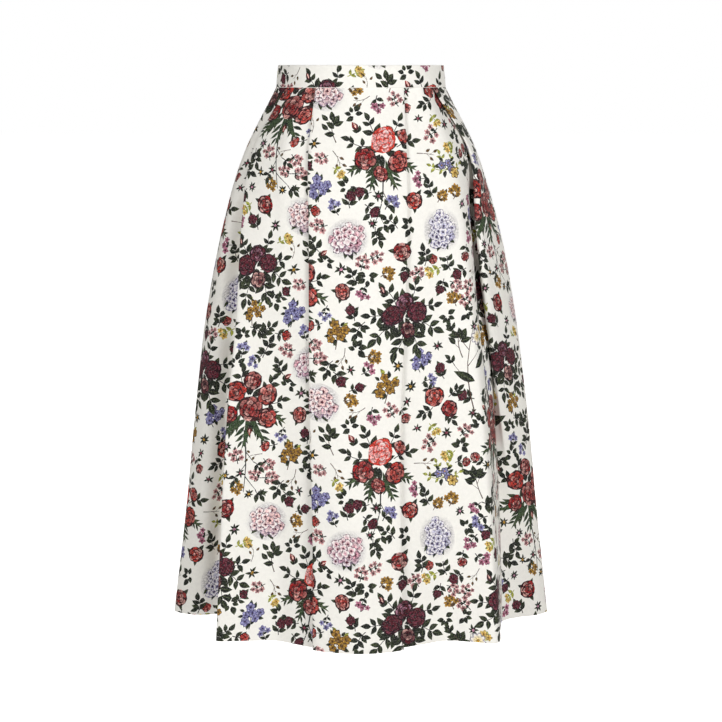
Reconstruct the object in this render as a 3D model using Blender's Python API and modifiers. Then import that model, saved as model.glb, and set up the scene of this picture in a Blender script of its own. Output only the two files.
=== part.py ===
"""An A-line midi skirt, hollow and open as it is when worn: waistband, seven pleated panels and a back zip.

Metres, +Z up. The wearer faces -Y, so the wearer's right is -X. The origin is the centre of the waist,
half-way up the waistband. A "drop" is a distance below the top edge of the waistband.
Each panel is a loft between plan curves at many drops. The tables give half of a plan, with X counted
outwards from the centre on both sides, and the functions mirror it.
"""

import math

import bmesh
import bpy
import numpy as np
from mathutils import Matrix, Vector

# Driving dimensions of the waist, the length and the cloth
LENGTH = 0.7986
BAND_HEIGHT = 0.030
BAND_WALL = 0.0024
WAIST_HALF_WIDTH = 0.1163
WAIST_HALF_DEPTH = 0.0905
SEAM_HALF_WIDTH = 0.1193
SEAM_HALF_DEPTH = 0.0925
CLOTH = 0.0012
SEAM_GAP = 0.0007
LAYER = 0.0021

# The knife pleats: the tuck under the folded edge, its roll and its opening. A layer lies LAYER from the next
PLEAT_TUCK_WAIST = 0.026
PLEAT_TUCK_HEM = 0.017
PLEAT_ROLL_HEM = 0.0042
PLEAT_RISE_HEM = 0.0048
PLEAT_RISE_POWER = 1.5
PLEAT_OPENING = math.radians(22)
CENTRE_FACE = (0.55, 0.29)
FLANK_EASE = (0.001, -0.0015)

# A folded edge bulges by half its roll where it is pressed, and by less of it as the fold opens
PRESSED_BULGE = 0.5
OPEN_EDGE_LOSS = 0.75

# The hem's dip at the front, and how the back differs from the front
HEM_DIP = 0.0095
FRONT_DEPTH = 0.187
BACK_FLATTENING = 0.20
BACK_SHIFT = 0.040
BACK_OPENING = 0.0012
BACK_FACE = (0.82, 0.58, 0.34, 0.12)

# Driving dimensions of the concealed zip at the centre back
ZIP_LENGTH = 0.200
ZIP_TOP_DROP = 0.0010
TAPE_WIDTH = 0.012
TAPE_WALL = 0.0006
TAPE_DEPTH = 0.0018
COIL_RADIUS = 0.0011
SLIDER_WIDTH = 0.0058
SLIDER_HEIGHT = 0.0090
SLIDER_DEPTH = 0.0026
SLIDER_ROUNDING = 0.0008
NECK_THICKNESS = 0.0006
NECK_HEIGHT = 0.0034
BAIL_RADIUS = 0.0020
BAIL_HOLE_RADIUS = 0.0011
PULL_AXIS_DROP = 0.0062
PULL_STANDOFF = 0.0036
PULL_LENGTH = 0.0240
PULL_THICKNESS = 0.0010
PULL_EDGE = 0.0002
PULL_BAR_HEIGHT = 0.0011
PULL_WINDOW_WIDTH = 0.0024
PULL_WINDOW_BOTTOM = 0.0030

# The pull's outline from the hinge down, as rows of half_width and the distance below the hinge
PULL_OUTLINE = (
    (0.0022, -0.00055),
    (0.0022, 0.0030),
    (0.0018, 0.0072),
    (0.0035, 0.0187),
    (0.0022, 0.0228),
)

# How finely the lofts are divided
ROWS = 17
ROW_CROWDING = 1.40
ZIP_BAND_ROWS = 3
ZIP_SKIRT_ROWS = 12
CURVE_STEPS = 5
SPAN_STEPS = 3
BAND_STEPS = 64
TAPE_STEPS = 3
BAIL_SEGMENTS = 24
SHARP_EDGE = math.radians(40)

# The front: its depth at the centre, the two knife pleats, and the hollow of the flanks beside them.
FRONT_COLUMNS = ("drop", "centre_y", "pleat_x_r", "pleat_x_l", "pleat_y", "flank_x", "flank_y")
FRONT = (
    (0.0303, -0.0925, 0.0620, 0.0580, -0.0791, 0.0780, -0.0700),
    (0.1200, -0.1180, 0.0714, 0.0618, -0.1065, 0.1080, -0.0890),
    (0.2200, -0.1310, 0.0707, 0.0635, -0.1215, 0.1160, -0.1010),
    (0.3400, -0.1440, 0.0705, 0.0600, -0.1345, 0.1190, -0.1100),
    (0.4800, -0.1570, 0.0700, 0.0545, -0.1460, 0.1200, -0.1180),
    (0.6400, -0.1710, 0.0655, 0.0550, -0.1580, 0.1200, -0.1250),
    (0.7986, -0.1830, 0.0658, 0.0580, -0.1680, 0.1200, -0.1300),
)

# The deep fold on the wearer's right: the front lobe's edge lies over the side lobe.
RIGHT_COLUMNS = ("drop", "corner_x", "corner_y", "seam_x", "seam_y", "under_x", "under_y",
                 "brow_x", "brow_y", "tip_x", "tip_y", "roll")
RIGHT = (
    (0.0303, 0.1040, -0.0453, 0.0782, -0.0660, 0.0990, -0.0418, 0.1166, -0.0190, 0.1193, 0.000, 0.0021),
    (0.1200, 0.1520, -0.0460, 0.1290, -0.0676, 0.1460, -0.0408, 0.1610, -0.0235, 0.1647, 0.000, 0.0024),
    (0.2200, 0.1665, -0.0700, 0.1470, -0.0620, 0.1645, -0.0535, 0.1880, -0.0350, 0.1970, 0.002, 0.0040),
    (0.3400, 0.1730, -0.0890, 0.1560, -0.0530, 0.1750, -0.0470, 0.2070, -0.0300, 0.2225, 0.006, 0.0055),
    (0.4800, 0.1870, -0.1030, 0.1680, -0.0400, 0.1870, -0.0345, 0.2230, -0.0220, 0.2408, 0.010, 0.0070),
    (0.6400, 0.1975, -0.1180, 0.1760, -0.0260, 0.1960, -0.0215, 0.2370, -0.0140, 0.2575, 0.014, 0.0085),
    (0.7986, 0.2030, -0.1320, 0.1810, -0.0140, 0.2030, -0.0090, 0.2520, -0.0040, 0.2760, 0.018, 0.0100),
)

# The deep fold on the wearer's left: the front rolls in, and the side lobe's edge lies over it.
LEFT_COLUMNS = ("drop", "corner_x", "corner_y", "under_x", "under_y", "seam_x", "seam_y",
                "tuck_x", "tuck_y", "brow_x", "brow_y", "cheek_x", "cheek_y", "tip_x", "tip_y")
LEFT = (
    (0.0303, 0.0900, -0.0605, 0.0975, -0.0458, 0.1114, -0.0212,
     0.1000, -0.0478, 0.1015, -0.0492, 0.1147, -0.0255, 0.1193, 0.000),
    (0.1200, 0.1290, -0.0735, 0.1490, -0.0380, 0.1565, -0.0150,
     0.1525, -0.0398, 0.1545, -0.0412, 0.1618, -0.0220, 0.1643, 0.004),
    (0.2200, 0.1430, -0.0880, 0.1590, -0.0560, 0.1765, -0.0330,
     0.1640, -0.0625, 0.1650, -0.0670, 0.1845, -0.0360, 0.1950, 0.006),
    (0.3400, 0.1550, -0.1010, 0.1690, -0.0620, 0.1830, -0.0380,
     0.1755, -0.0565, 0.1780, -0.0630, 0.2060, -0.0300, 0.2200, 0.008),
    (0.4800, 0.1700, -0.1140, 0.1810, -0.0710, 0.1900, -0.0390,
     0.1945, -0.0450, 0.1975, -0.0490, 0.2240, -0.0220, 0.2405, 0.010),
    (0.6400, 0.1830, -0.1280, 0.1915, -0.0820, 0.1990, -0.0400,
     0.2100, -0.0370, 0.2190, -0.0330, 0.2420, -0.0130, 0.2570, 0.014),
    (0.7986, 0.1915, -0.1400, 0.1985, -0.0900, 0.2040, -0.0410,
     0.2170, -0.0280, 0.2330, -0.0180, 0.2590, -0.0065, 0.2752, 0.018),
)


def column(table, names, name, drop):
    """A named column of a table at any drop, on a smooth curve through its rows."""
    rows = np.array(table)
    drops = rows[:, 0]
    values = rows[:, names.index(name)]
    slopes = np.gradient(values, drops)
    place = int(np.clip(np.searchsorted(drops, drop) - 1, 0, len(drops) - 2))
    span = drops[place + 1] - drops[place]
    t = (drop - drops[place]) / span
    return float(
        values[place] * (1 + 2 * t) * (1 - t) ** 2
        + values[place + 1] * t * t * (3 - 2 * t)
        + slopes[place] * span * t * (1 - t) ** 2
        - slopes[place + 1] * span * t * t * (1 - t)
    )


def point(table, names, name, drop):
    """A named plan point of a table at any drop."""
    x = column(table, names, name + "_x", drop)
    y = column(table, names, name + "_y", drop)
    return np.array((x, y))


def share(drop):
    """0 at the waist seam, 1 at the hem."""
    return (drop - BAND_HEIGHT) / (LENGTH - BAND_HEIGHT)


def unit(vector):
    return vector / np.linalg.norm(vector)


def inward(along):
    """The direction into the skirt from a plan curve that heads outwards from the centre front."""
    return np.array((-along[1], along[0]))


def behind(front_point, drop):
    """The place at the back of the skirt that mirrors a place at its front."""
    x, y = front_point
    return np.array((x, -y * (1 - BACK_FLATTENING * share(drop)) + BACK_SHIFT * share(drop)))


def rolled_edge(before, edge, roll, openness, side=1):
    """A folded edge: the cloth reaches it, rolls over by roll and heads back, or turns off as it opens."""
    along = unit(edge - before)
    across = side * inward(along)
    bulge = PRESSED_BULGE * roll * (1 - OPEN_EDGE_LOSS * openness)
    return [edge, edge + bulge * along + 0.5 * roll * across, edge + roll * across]


def curve_through(points):
    """A centripetal Catmull-Rom curve through the points, with SPAN_STEPS to each span."""
    points = [2 * points[0] - points[1], *points, 2 * points[-1] - points[-2]]
    found = [points[1]]
    for a, b, c, d in zip(points, points[1:], points[2:], points[3:]):
        k1, k2, k3 = (math.sqrt(np.linalg.norm(q - p)) for p, q in ((a, b), (b, c), (c, d)))
        leave = (b - a) / k1 - (c - a) / (k1 + k2) + (c - b) / k2
        reach = (c - b) / k2 - (d - b) / (k2 + k3) + (d - c) / k3
        for step in range(1, SPAN_STEPS + 1):
            t = step / SPAN_STEPS
            found.append(
                b * (1 + 2 * t) * (1 - t) ** 2
                + c * t * t * (3 - 2 * t)
                + leave * k2 * t * (1 - t) ** 2
                - reach * k2 * t * t * (1 - t)
            )
    return np.array(found)


def half_centre_front(side, drop):
    """The centre front outwards from the middle: its face, the pleat's folded edge, and the tuck."""
    depth = column(FRONT, FRONT_COLUMNS, "centre_y", drop)
    edge = np.array((
        column(FRONT, FRONT_COLUMNS, "pleat_x_r" if side < 0 else "pleat_x_l", drop),
        column(FRONT, FRONT_COLUMNS, "pleat_y", drop),
    ))
    face = np.array((CENTRE_FACE[0] * edge[0], depth + CENTRE_FACE[1] * (edge[1] - depth)))
    roll = LAYER + (PLEAT_ROLL_HEM - LAYER) * share(drop)
    rolled = rolled_edge(face, edge, roll, 0.0)
    along = unit(edge - face)
    opening = PLEAT_OPENING * share(drop)
    heading = -math.cos(opening) * along + math.sin(opening) * inward(along)
    tuck = PLEAT_TUCK_WAIST + (PLEAT_TUCK_HEM - PLEAT_TUCK_WAIST) * share(drop)
    return [np.array((0.0, depth)), face, *rolled, rolled[-1] + tuck * heading]


def side_front(side, drop):
    """A side front outwards from the pleat's seam, under the centre front, to the deep fold's seam."""
    face, edge, _, rolled, seam = half_centre_front(side, drop)[1:]
    flank = point(FRONT, FRONT_COLUMNS, "flank", drop)
    start = seam + LAYER * inward(unit(rolled - seam))
    rise = LAYER + (PLEAT_RISE_HEM - LAYER) * share(drop) ** PLEAT_RISE_POWER
    under_pleat = rolled + rise * inward(unit(edge - face))
    if side < 0:
        corner = point(RIGHT, RIGHT_COLUMNS, "corner", drop)
        ends = rolled_edge(flank, corner, column(RIGHT, RIGHT_COLUMNS, "roll", drop), share(drop))
        ends.append(point(RIGHT, RIGHT_COLUMNS, "seam", drop))
    else:
        ends = [point(LEFT, LEFT_COLUMNS, name, drop) for name in ("corner", "under", "seam")]
    between = 0.5 * (flank + ends[0]) + np.array(FLANK_EASE) * (1 - share(drop))
    return [start, under_pleat, 0.5 * (under_pleat + flank), flank, between, *ends]


def side_right_half(drop):
    """The wearer's right side panel from the deep fold's seam to the tip of its lobe."""
    corner, seam, under, brow, tip = (
        point(RIGHT, RIGHT_COLUMNS, name, drop) for name in ("corner", "seam", "under", "brow", "tip")
    )
    return [seam + LAYER * inward(unit(corner - seam)), under, brow, tip]


def side_left_half(drop):
    """The wearer's left side panel from the deep fold's seam to the tip of its lobe."""
    under, seam, tuck, brow, cheek, tip = (
        point(LEFT, LEFT_COLUMNS, name, drop)
        for name in ("under", "seam", "tuck", "brow", "cheek", "tip")
    )
    bulge = PRESSED_BULGE * np.linalg.norm(tuck - brow) * (1 - share(drop)) ** 2
    middle = 0.5 * (tuck + brow) + bulge * unit(brow - cheek)
    return [seam - LAYER * inward(unit(seam - under)), tuck, middle, brow, cheek, tip]


def side_panel(side, drop):
    """A side panel from its front seam round the tip of its lobe to its back seam."""
    front = side_right_half(drop) if side < 0 else side_left_half(drop)
    back = [behind(place, drop) for place in side_right_half(drop)[:-1]]
    return [*front, *back[::-1]]


def back_panel(side, drop):
    """A back panel from the deep fold's seam, over the side panel, to the zip at the centre back."""
    corner = behind(point(RIGHT, RIGHT_COLUMNS, "corner", drop), drop)
    seam = behind(point(RIGHT, RIGHT_COLUMNS, "seam", drop), drop)
    half_width = column(RIGHT, RIGHT_COLUMNS, "tip_x", drop)
    depth = behind((0.0, column(FRONT, FRONT_COLUMNS, "centre_y", drop)), drop)[1]
    face = []
    for part in BACK_FACE:
        x = part * corner[0]
        face.append(np.array((x, depth * math.sqrt(1 - (x / half_width) ** 2))))
    roll = column(RIGHT, RIGHT_COLUMNS, "roll", drop) * (1 + share(drop))
    edge = rolled_edge(face[0], corner, roll, share(drop), side=-1)
    return [seam, *edge[::-1], *face, np.array((0.5 * BACK_OPENING, depth))]


def centre_front(side, drop):
    """The whole centre front, from the wearer's right to the left."""
    right = [place * (-1, 1) for place in half_centre_front(-1, drop)]
    left = half_centre_front(1, drop)
    return [*right[:0:-1], *left]


def loft(name, section, side, mirrored, material, collection):
    """A cloth panel through its section at every row, as an open surface with a wall given to it."""
    top = BAND_HEIGHT + SEAM_GAP
    drops = top + (LENGTH - top) * np.linspace(0, 1, ROWS) ** ROW_CROWDING
    rings = []
    for drop in drops:
        plan = curve_through(section(side, drop))
        if mirrored:
            plan = plan * (side, 1)
        dip = HEM_DIP * share(drop) ** 2 * (plan[:, 1] / FRONT_DEPTH) ** 2
        rings.append(np.column_stack((plan, 0.5 * BAND_HEIGHT - drop - dip)))
    return cloth(name, rings, CLOTH, material, collection)


def cloth(name, rings, wall, material, collection):
    """An open grid through rings of points, with Solidify to both sides of it."""
    across = len(rings[0])
    shell = bmesh.new()
    grid = [[shell.verts.new(place) for place in ring] for ring in rings]
    for upper, lower in zip(grid, grid[1:]):
        for i in range(across - 1):
            shell.faces.new((upper[i], lower[i], lower[i + 1], upper[i + 1]))
    thing = mesh_object(name, shell, material, collection)
    wall_modifier = thing.modifiers.new("wall", "SOLIDIFY")
    wall_modifier.thickness = wall
    wall_modifier.offset = 0
    return thing


def mesh_object(name, built, material, collection):
    """An object from a bmesh, smooth but for its sharp edges."""
    mesh = bpy.data.meshes.new(name)
    built.to_mesh(mesh)
    built.free()
    mesh.materials.append(material)
    mesh.shade_smooth()
    mesh.set_sharp_from_angle(angle=SHARP_EDGE)
    thing = bpy.data.objects.new(name, mesh)
    collection.objects.link(thing)
    return thing


def finish(name, colour, roughness, metallic=0.0):
    material = bpy.data.materials.new(name)
    material.use_nodes = True
    shader = material.node_tree.nodes["Principled BSDF"]
    shader.inputs["Base Color"].default_value = (*colour, 1)
    shader.inputs["Roughness"].default_value = roughness
    shader.inputs["Metallic"].default_value = metallic
    return material


def waistband(material, collection):
    """The waistband, from the zip round the front and back to the zip."""
    rings = []
    for level in (0.0, 0.5, 1.0):
        half_width = WAIST_HALF_WIDTH + level * (SEAM_HALF_WIDTH - WAIST_HALF_WIDTH)
        half_depth = WAIST_HALF_DEPTH + level * (SEAM_HALF_DEPTH - WAIST_HALF_DEPTH)
        start = math.asin(0.5 * BACK_OPENING / half_width)
        ring = []
        for step in range(BAND_STEPS + 1):
            turn = start + step / BAND_STEPS * (2 * math.pi - 2 * start)
            place = (-half_width * math.sin(turn), half_depth * math.cos(turn), BAND_HEIGHT * (0.5 - level))
            ring.append(place)
        rings.append(np.array(ring))
    return cloth("waistband", rings, BAND_WALL, material, collection)


def back_ellipse(drop):
    """Half width and depth of the back's curve near its centre: of the band, then of the skirt."""
    if drop < BAND_HEIGHT:
        level = drop / BAND_HEIGHT
        return (WAIST_HALF_WIDTH + level * (SEAM_HALF_WIDTH - WAIST_HALF_WIDTH),
                WAIST_HALF_DEPTH + level * (SEAM_HALF_DEPTH - WAIST_HALF_DEPTH))
    centre_y = column(FRONT, FRONT_COLUMNS, "centre_y", drop)
    return column(RIGHT, RIGHT_COLUMNS, "tip_x", drop), behind((0.0, centre_y), drop)[1]


def zip_place(x, drop, depth):
    """A point of the zip, at a depth inside the middle of the cloth at the centre back."""
    half_width, half_depth = back_ellipse(drop)
    return np.array((x, half_depth * math.sqrt(1 - (x / half_width) ** 2) - depth, 0.5 * BAND_HEIGHT - drop))


def zip_drops(first):
    """Drops down the zip, with one at the seam, where the back turns outwards."""
    band = np.linspace(first, BAND_HEIGHT, ZIP_BAND_ROWS)
    return [*band, *np.linspace(BAND_HEIGHT, ZIP_LENGTH, ZIP_SKIRT_ROWS)[1:]]


def zip_tape(name, side, material, collection):
    """A woven tape behind one edge of the back opening."""
    rings = []
    for drop in zip_drops(ZIP_TOP_DROP):
        places = np.linspace(0.5 * BACK_OPENING, TAPE_WIDTH, TAPE_STEPS + 1)
        rings.append(np.array([zip_place(side * x, drop, TAPE_DEPTH) for x in places]))
    return cloth(name, rings, TAPE_WALL, material, collection)


def zip_coil(material, collection):
    """The closed coil, hidden on the inside of the tapes, from below the slider to the end."""
    data = bpy.data.curves.new("zip_coil", "CURVE")
    data.dimensions = "3D"
    data.bevel_depth = COIL_RADIUS
    data.bevel_resolution = 2
    data.use_fill_caps = True
    spline = data.splines.new("POLY")
    first = PULL_AXIS_DROP + 0.5 * SLIDER_HEIGHT + 2 * CLOTH
    drops = zip_drops(first)
    spline.points.add(len(drops) - 1)
    for vertex, drop in zip(spline.points, drops):
        depth = TAPE_DEPTH + 0.5 * TAPE_WALL + COIL_RADIUS + LAYER - CLOTH
        vertex.co = (*zip_place(0.0, drop, depth), 1)
    data.materials.append(material)
    thing = bpy.data.objects.new("zip_coil", data)
    collection.objects.link(thing)
    return thing


def block(name, size, place, material, collection):
    built = bmesh.new()
    bmesh.ops.create_cube(built, size=1.0, matrix=Matrix.Translation(place) @ Matrix.Diagonal((*size, 1)))
    return mesh_object(name, built, material, collection)


def disc(name, radius, thickness, place, material, collection):
    """A disc whose axis lies along X."""
    built = bmesh.new()
    across = Matrix.Translation(place) @ Matrix.Rotation(math.radians(90), 4, "Y")
    bmesh.ops.create_cone(built, cap_ends=True, segments=BAIL_SEGMENTS, radius1=radius, radius2=radius,
                          depth=thickness, matrix=across)
    return mesh_object(name, built, material, collection)


def combine(thing, operation, helper):
    helper.hide_render = True
    helper.display_type = "WIRE"
    modifier = thing.modifiers.new(helper.name, "BOOLEAN")
    modifier.operation = operation
    modifier.object = helper


def pull_axis():
    """The middle of the pull's hinge, just outside the waistband at the centre back."""
    return Vector(zip_place(0.0, PULL_AXIS_DROP, -PULL_STANDOFF))


def zip_slider(material, collection, cutters):
    """The slider at the top of the closed zip: a body inside, a neck through the opening and a bail."""
    axis = pull_axis()
    band_y = axis.y - PULL_STANDOFF
    outer_y = band_y - TAPE_DEPTH - 0.5 * TAPE_WALL - (LAYER - CLOTH)
    body = block("zip_slider", (SLIDER_WIDTH, SLIDER_DEPTH, SLIDER_HEIGHT),
                 (0, outer_y - 0.5 * SLIDER_DEPTH, axis.z), material, collection)
    corners = body.modifiers.new("rounding", "BEVEL")
    corners.width = SLIDER_ROUNDING
    corners.segments = 3
    neck_from = outer_y - 0.5 * SLIDER_DEPTH
    neck_to = axis.y - 0.5 * (BAIL_RADIUS + BAIL_HOLE_RADIUS)
    neck = block("slider neck", (NECK_THICKNESS, neck_to - neck_from, NECK_HEIGHT),
                 (0, 0.5 * (neck_from + neck_to), axis.z), material, cutters)
    bail = disc("slider bail", BAIL_RADIUS, NECK_THICKNESS, axis, material, cutters)
    hole = disc("bail hole", BAIL_HOLE_RADIUS, 4 * NECK_THICKNESS, axis, material, cutters)
    combine(body, "UNION", neck)
    combine(body, "UNION", bail)
    combine(body, "DIFFERENCE", hole)
    return body


def zip_pull(material, collection):
    """The pull: a flat drop-shaped tab whose top bar passes through the slider's bail."""
    data = bpy.data.curves.new("zip_pull", "CURVE")
    data.dimensions = "2D"
    data.fill_mode = "BOTH"
    data.extrude = 0.5 * PULL_THICKNESS - PULL_EDGE
    data.bevel_depth = PULL_EDGE
    data.bevel_resolution = 1
    data.resolution_u = CURVE_STEPS
    right = [(half_width, -below) for half_width, below in PULL_OUTLINE]
    outline = [*right, (0, -PULL_LENGTH), *((-x, y) for x, y in reversed(right))]
    half_window = 0.5 * PULL_WINDOW_WIDTH
    bar = 0.5 * PULL_BAR_HEIGHT
    window = ((half_window, -bar), (-half_window, -bar),
              (-half_window, -PULL_WINDOW_BOTTOM), (half_window, -PULL_WINDOW_BOTTOM))
    for points, curved in ((outline, True), (window, False)):
        spline = data.splines.new("BEZIER")
        spline.use_cyclic_u = True
        spline.bezier_points.add(len(points) - 1)
        for vertex, (x, y) in zip(spline.bezier_points, points):
            vertex.co = (x, y, 0)
            soft = curved and y < -PULL_WINDOW_BOTTOM
            vertex.handle_left_type = vertex.handle_right_type = "AUTO" if soft else "VECTOR"
    data.materials.append(material)
    thing = bpy.data.objects.new("zip_pull", data)
    thing.location = pull_axis()
    thing.rotation_euler = (math.radians(90), 0, 0)
    collection.objects.link(thing)
    return thing


def skirt(materials, collection):
    print_cloth = materials["cloth"]
    waistband(print_cloth, collection)
    loft("front_centre", centre_front, 1, False, print_cloth, collection)
    for side, hand in ((-1, "r"), (1, "l")):
        loft("front_side_" + hand, side_front, side, True, print_cloth, collection)
        loft("side_" + hand, side_panel, side, True, print_cloth, collection)
        loft("back_" + hand, back_panel, side, True, print_cloth, collection)


def closure(materials, collection, cutters):
    for side, hand in ((-1, "r"), (1, "l")):
        zip_tape("zip_tape_" + hand, side, materials["tape"], collection)
    zip_coil(materials["tape"], collection)
    zip_slider(materials["metal"], collection, cutters)
    zip_pull(materials["metal"], collection)


def clear_scene():
    for thing in list(bpy.data.objects):
        bpy.data.objects.remove(thing, do_unlink=True)


def main():
    clear_scene()
    collection = bpy.data.collections.new("a-line skirt")
    cutters = bpy.data.collections.new("cutters")
    for group in (collection, cutters):
        bpy.context.scene.collection.children.link(group)
    materials = {
        "cloth": finish("printed cloth", (0.86, 0.84, 0.79), 0.75),
        "tape": finish("zip tape", (0.82, 0.80, 0.75), 0.80),
        "metal": finish("zip metal", (0.72, 0.71, 0.68), 0.35, 1.0),
    }
    skirt(materials, collection)
    closure(materials, collection, cutters)


main()
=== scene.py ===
"""Looks of a printed A-line skirt as it is when worn: cloth, print, stitches, zip and studio.

Laid out as a Blender add-on and run as a script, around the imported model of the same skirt.
Metres, +Z up. The wearer faces -Y, so the wearer's right is -X. The origin is the centre of the
waist, half-way up the waistband. A "drop" is a distance below the top edge of the waistband.
"""

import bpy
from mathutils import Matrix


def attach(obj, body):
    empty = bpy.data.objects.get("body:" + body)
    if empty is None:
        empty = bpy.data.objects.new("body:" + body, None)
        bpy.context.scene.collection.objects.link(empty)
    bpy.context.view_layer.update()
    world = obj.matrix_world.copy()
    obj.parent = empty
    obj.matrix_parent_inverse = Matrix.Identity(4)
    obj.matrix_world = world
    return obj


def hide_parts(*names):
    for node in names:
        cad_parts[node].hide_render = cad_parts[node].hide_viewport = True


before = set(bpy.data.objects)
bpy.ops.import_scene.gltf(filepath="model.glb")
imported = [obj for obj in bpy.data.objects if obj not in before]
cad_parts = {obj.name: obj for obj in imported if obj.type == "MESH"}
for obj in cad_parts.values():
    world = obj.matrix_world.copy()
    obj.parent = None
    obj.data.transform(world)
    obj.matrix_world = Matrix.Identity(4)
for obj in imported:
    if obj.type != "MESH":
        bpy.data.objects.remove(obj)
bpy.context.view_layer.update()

import math
from collections import namedtuple

import bpy
import numpy as np
from bpy.props import FloatProperty, FloatVectorProperty, PointerProperty
from mathutils import Vector
from mathutils.geometry import delaunay_2d_cdt

bl_info = {
    "name": "Printed A-line skirt",
    "version": (1, 0, 0),
    "blender": (4, 5, 0),
    "location": "3D View > Sidebar > Skirt",
    "description": "Builds the cloth, print, sewing, zip and studio of a worn A-line skirt",
    "category": "Object",
}

# -------------------- the skirt's cut, as in its solids

LENGTH = 0.7986
BAND_HEIGHT = 0.030
WAIST_HALF_WIDTH = 0.1163
WAIST_HALF_DEPTH = 0.0905
SEAM_HALF_WIDTH = 0.1193
SEAM_HALF_DEPTH = 0.0925
SEAM_GAP = 0.0005
# From layer to layer in a fold, and closer where two pieces are sewn together
LAYER = 0.0021
SEWN_LAYER = 0.0011
PLEAT_TUCK_WAIST = 0.026
PLEAT_TUCK_HEM = 0.017
PLEAT_ROLL_HEM = 0.0042
PLEAT_RISE_HEM = 0.0048
PLEAT_RISE_POWER = 1.5
PLEAT_OPENING = math.radians(22)
CENTRE_FACE = (0.55, 0.29)
FLANK_EASE = (0.001, -0.0015)
PRESSED_BULGE = 0.5
OPEN_EDGE_LOSS = 0.75
HEM_DIP = 0.0095
FRONT_DEPTH = 0.187
BACK_FLATTENING = 0.20
BACK_SHIFT = 0.040
BACK_FACE = (0.82, 0.58, 0.34, 0.12)
# The backs lie apart along the zip, and below its end they are sewn, in a seam that sinks in
BACK_OPENING = 0.0012
BACK_LAST_FACE = 0.006
ZIP_END = 0.200
SEWN_FROM_ZIP = 0.012
SEWN_GAP = 0.0001
SEAM_SINK = 0.0008
SPAN_STEPS = 12


def unit(vector):
    return vector / np.linalg.norm(vector)


def units(vectors, least=0.0):
    """Unit vectors from the vectors in the last axis of an array."""
    return vectors / (np.linalg.norm(vectors, axis=-1) + least)[..., None]


def smooth(t):
    t = np.clip(t, 0, 1)
    return t * t * (3 - 2 * t)


def hermite(one, other, slope, next_slope, span, t):
    """The smooth curve between two values, with their slopes, at shares t of the span."""
    return (
        one * (1 + 2 * t) * (1 - t) ** 2
        + other * t * t * (3 - 2 * t)
        + slope * span * t * (1 - t) ** 2
        - next_slope * span * t * t * (1 - t)
    )


class Chart:
    """Plan values of the skirt at a few drops, and smooth curves through them."""

    def __init__(self, names, *rows):
        self.names = names.split()
        self.drops, *self.columns = np.array(rows).T

    def at(self, name, drop):
        """A named value at any drop."""
        drops, values = self.drops, self.columns[self.names.index(name)]
        slopes = np.gradient(values, drops)
        k = int(np.clip(np.searchsorted(drops, drop) - 1, 0, len(drops) - 2))
        span = drops[k + 1] - drops[k]
        t = (drop - drops[k]) / span
        return float(hermite(values[k], values[k + 1], slopes[k], slopes[k + 1], span, t))

    def places(self, names, drop):
        """Named plan points at any drop."""
        return [
            np.array([self.at(name + axis, drop) for axis in ("_x", "_y")])
            for name in names.split()
        ]


# The front: its depth at the centre, the two knife pleats, and the hollow of the flanks beside them
FRONT = Chart(
    "centre_y pleat_x_r pleat_x_l pleat_y flank_x flank_y",
    (0.0303, -0.0925, 0.0620, 0.0580, -0.0791, 0.0780, -0.0700),
    (0.1200, -0.1180, 0.0714, 0.0618, -0.1065, 0.1080, -0.0890),
    (0.2200, -0.1310, 0.0707, 0.0635, -0.1215, 0.1160, -0.1010),
    (0.3400, -0.1440, 0.0705, 0.0600, -0.1345, 0.1190, -0.1100),
    (0.4800, -0.1570, 0.0700, 0.0545, -0.1460, 0.1200, -0.1180),
    (0.6400, -0.1710, 0.0655, 0.0550, -0.1580, 0.1200, -0.1250),
    (0.7986, -0.1830, 0.0658, 0.0580, -0.1680, 0.1200, -0.1300),
)

# The deep fold on the wearer's right: the front lobe's edge lies over the side lobe
RIGHT = Chart(
    "corner_x corner_y seam_x seam_y under_x under_y brow_x brow_y tip_x tip_y roll",
    (0.0303, 0.1040, -0.0453, 0.0782, -0.0660, 0.0990, -0.0418,
     0.1166, -0.0190, 0.1193, 0.000, 0.0021),
    (0.1200, 0.1520, -0.0460, 0.1290, -0.0676, 0.1460, -0.0408,
     0.1610, -0.0235, 0.1647, 0.000, 0.0024),
    (0.2200, 0.1665, -0.0700, 0.1470, -0.0620, 0.1645, -0.0535,
     0.1880, -0.0350, 0.1970, 0.002, 0.0040),
    (0.3400, 0.1730, -0.0890, 0.1560, -0.0530, 0.1750, -0.0470,
     0.2070, -0.0300, 0.2225, 0.006, 0.0055),
    (0.4800, 0.1870, -0.1030, 0.1680, -0.0400, 0.1870, -0.0345,
     0.2230, -0.0220, 0.2408, 0.010, 0.0070),
    (0.6400, 0.1975, -0.1180, 0.1760, -0.0260, 0.1960, -0.0215,
     0.2370, -0.0140, 0.2575, 0.014, 0.0085),
    (0.7986, 0.2030, -0.1320, 0.1810, -0.0140, 0.2030, -0.0090,
     0.2520, -0.0040, 0.2760, 0.018, 0.0100),
)

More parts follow.
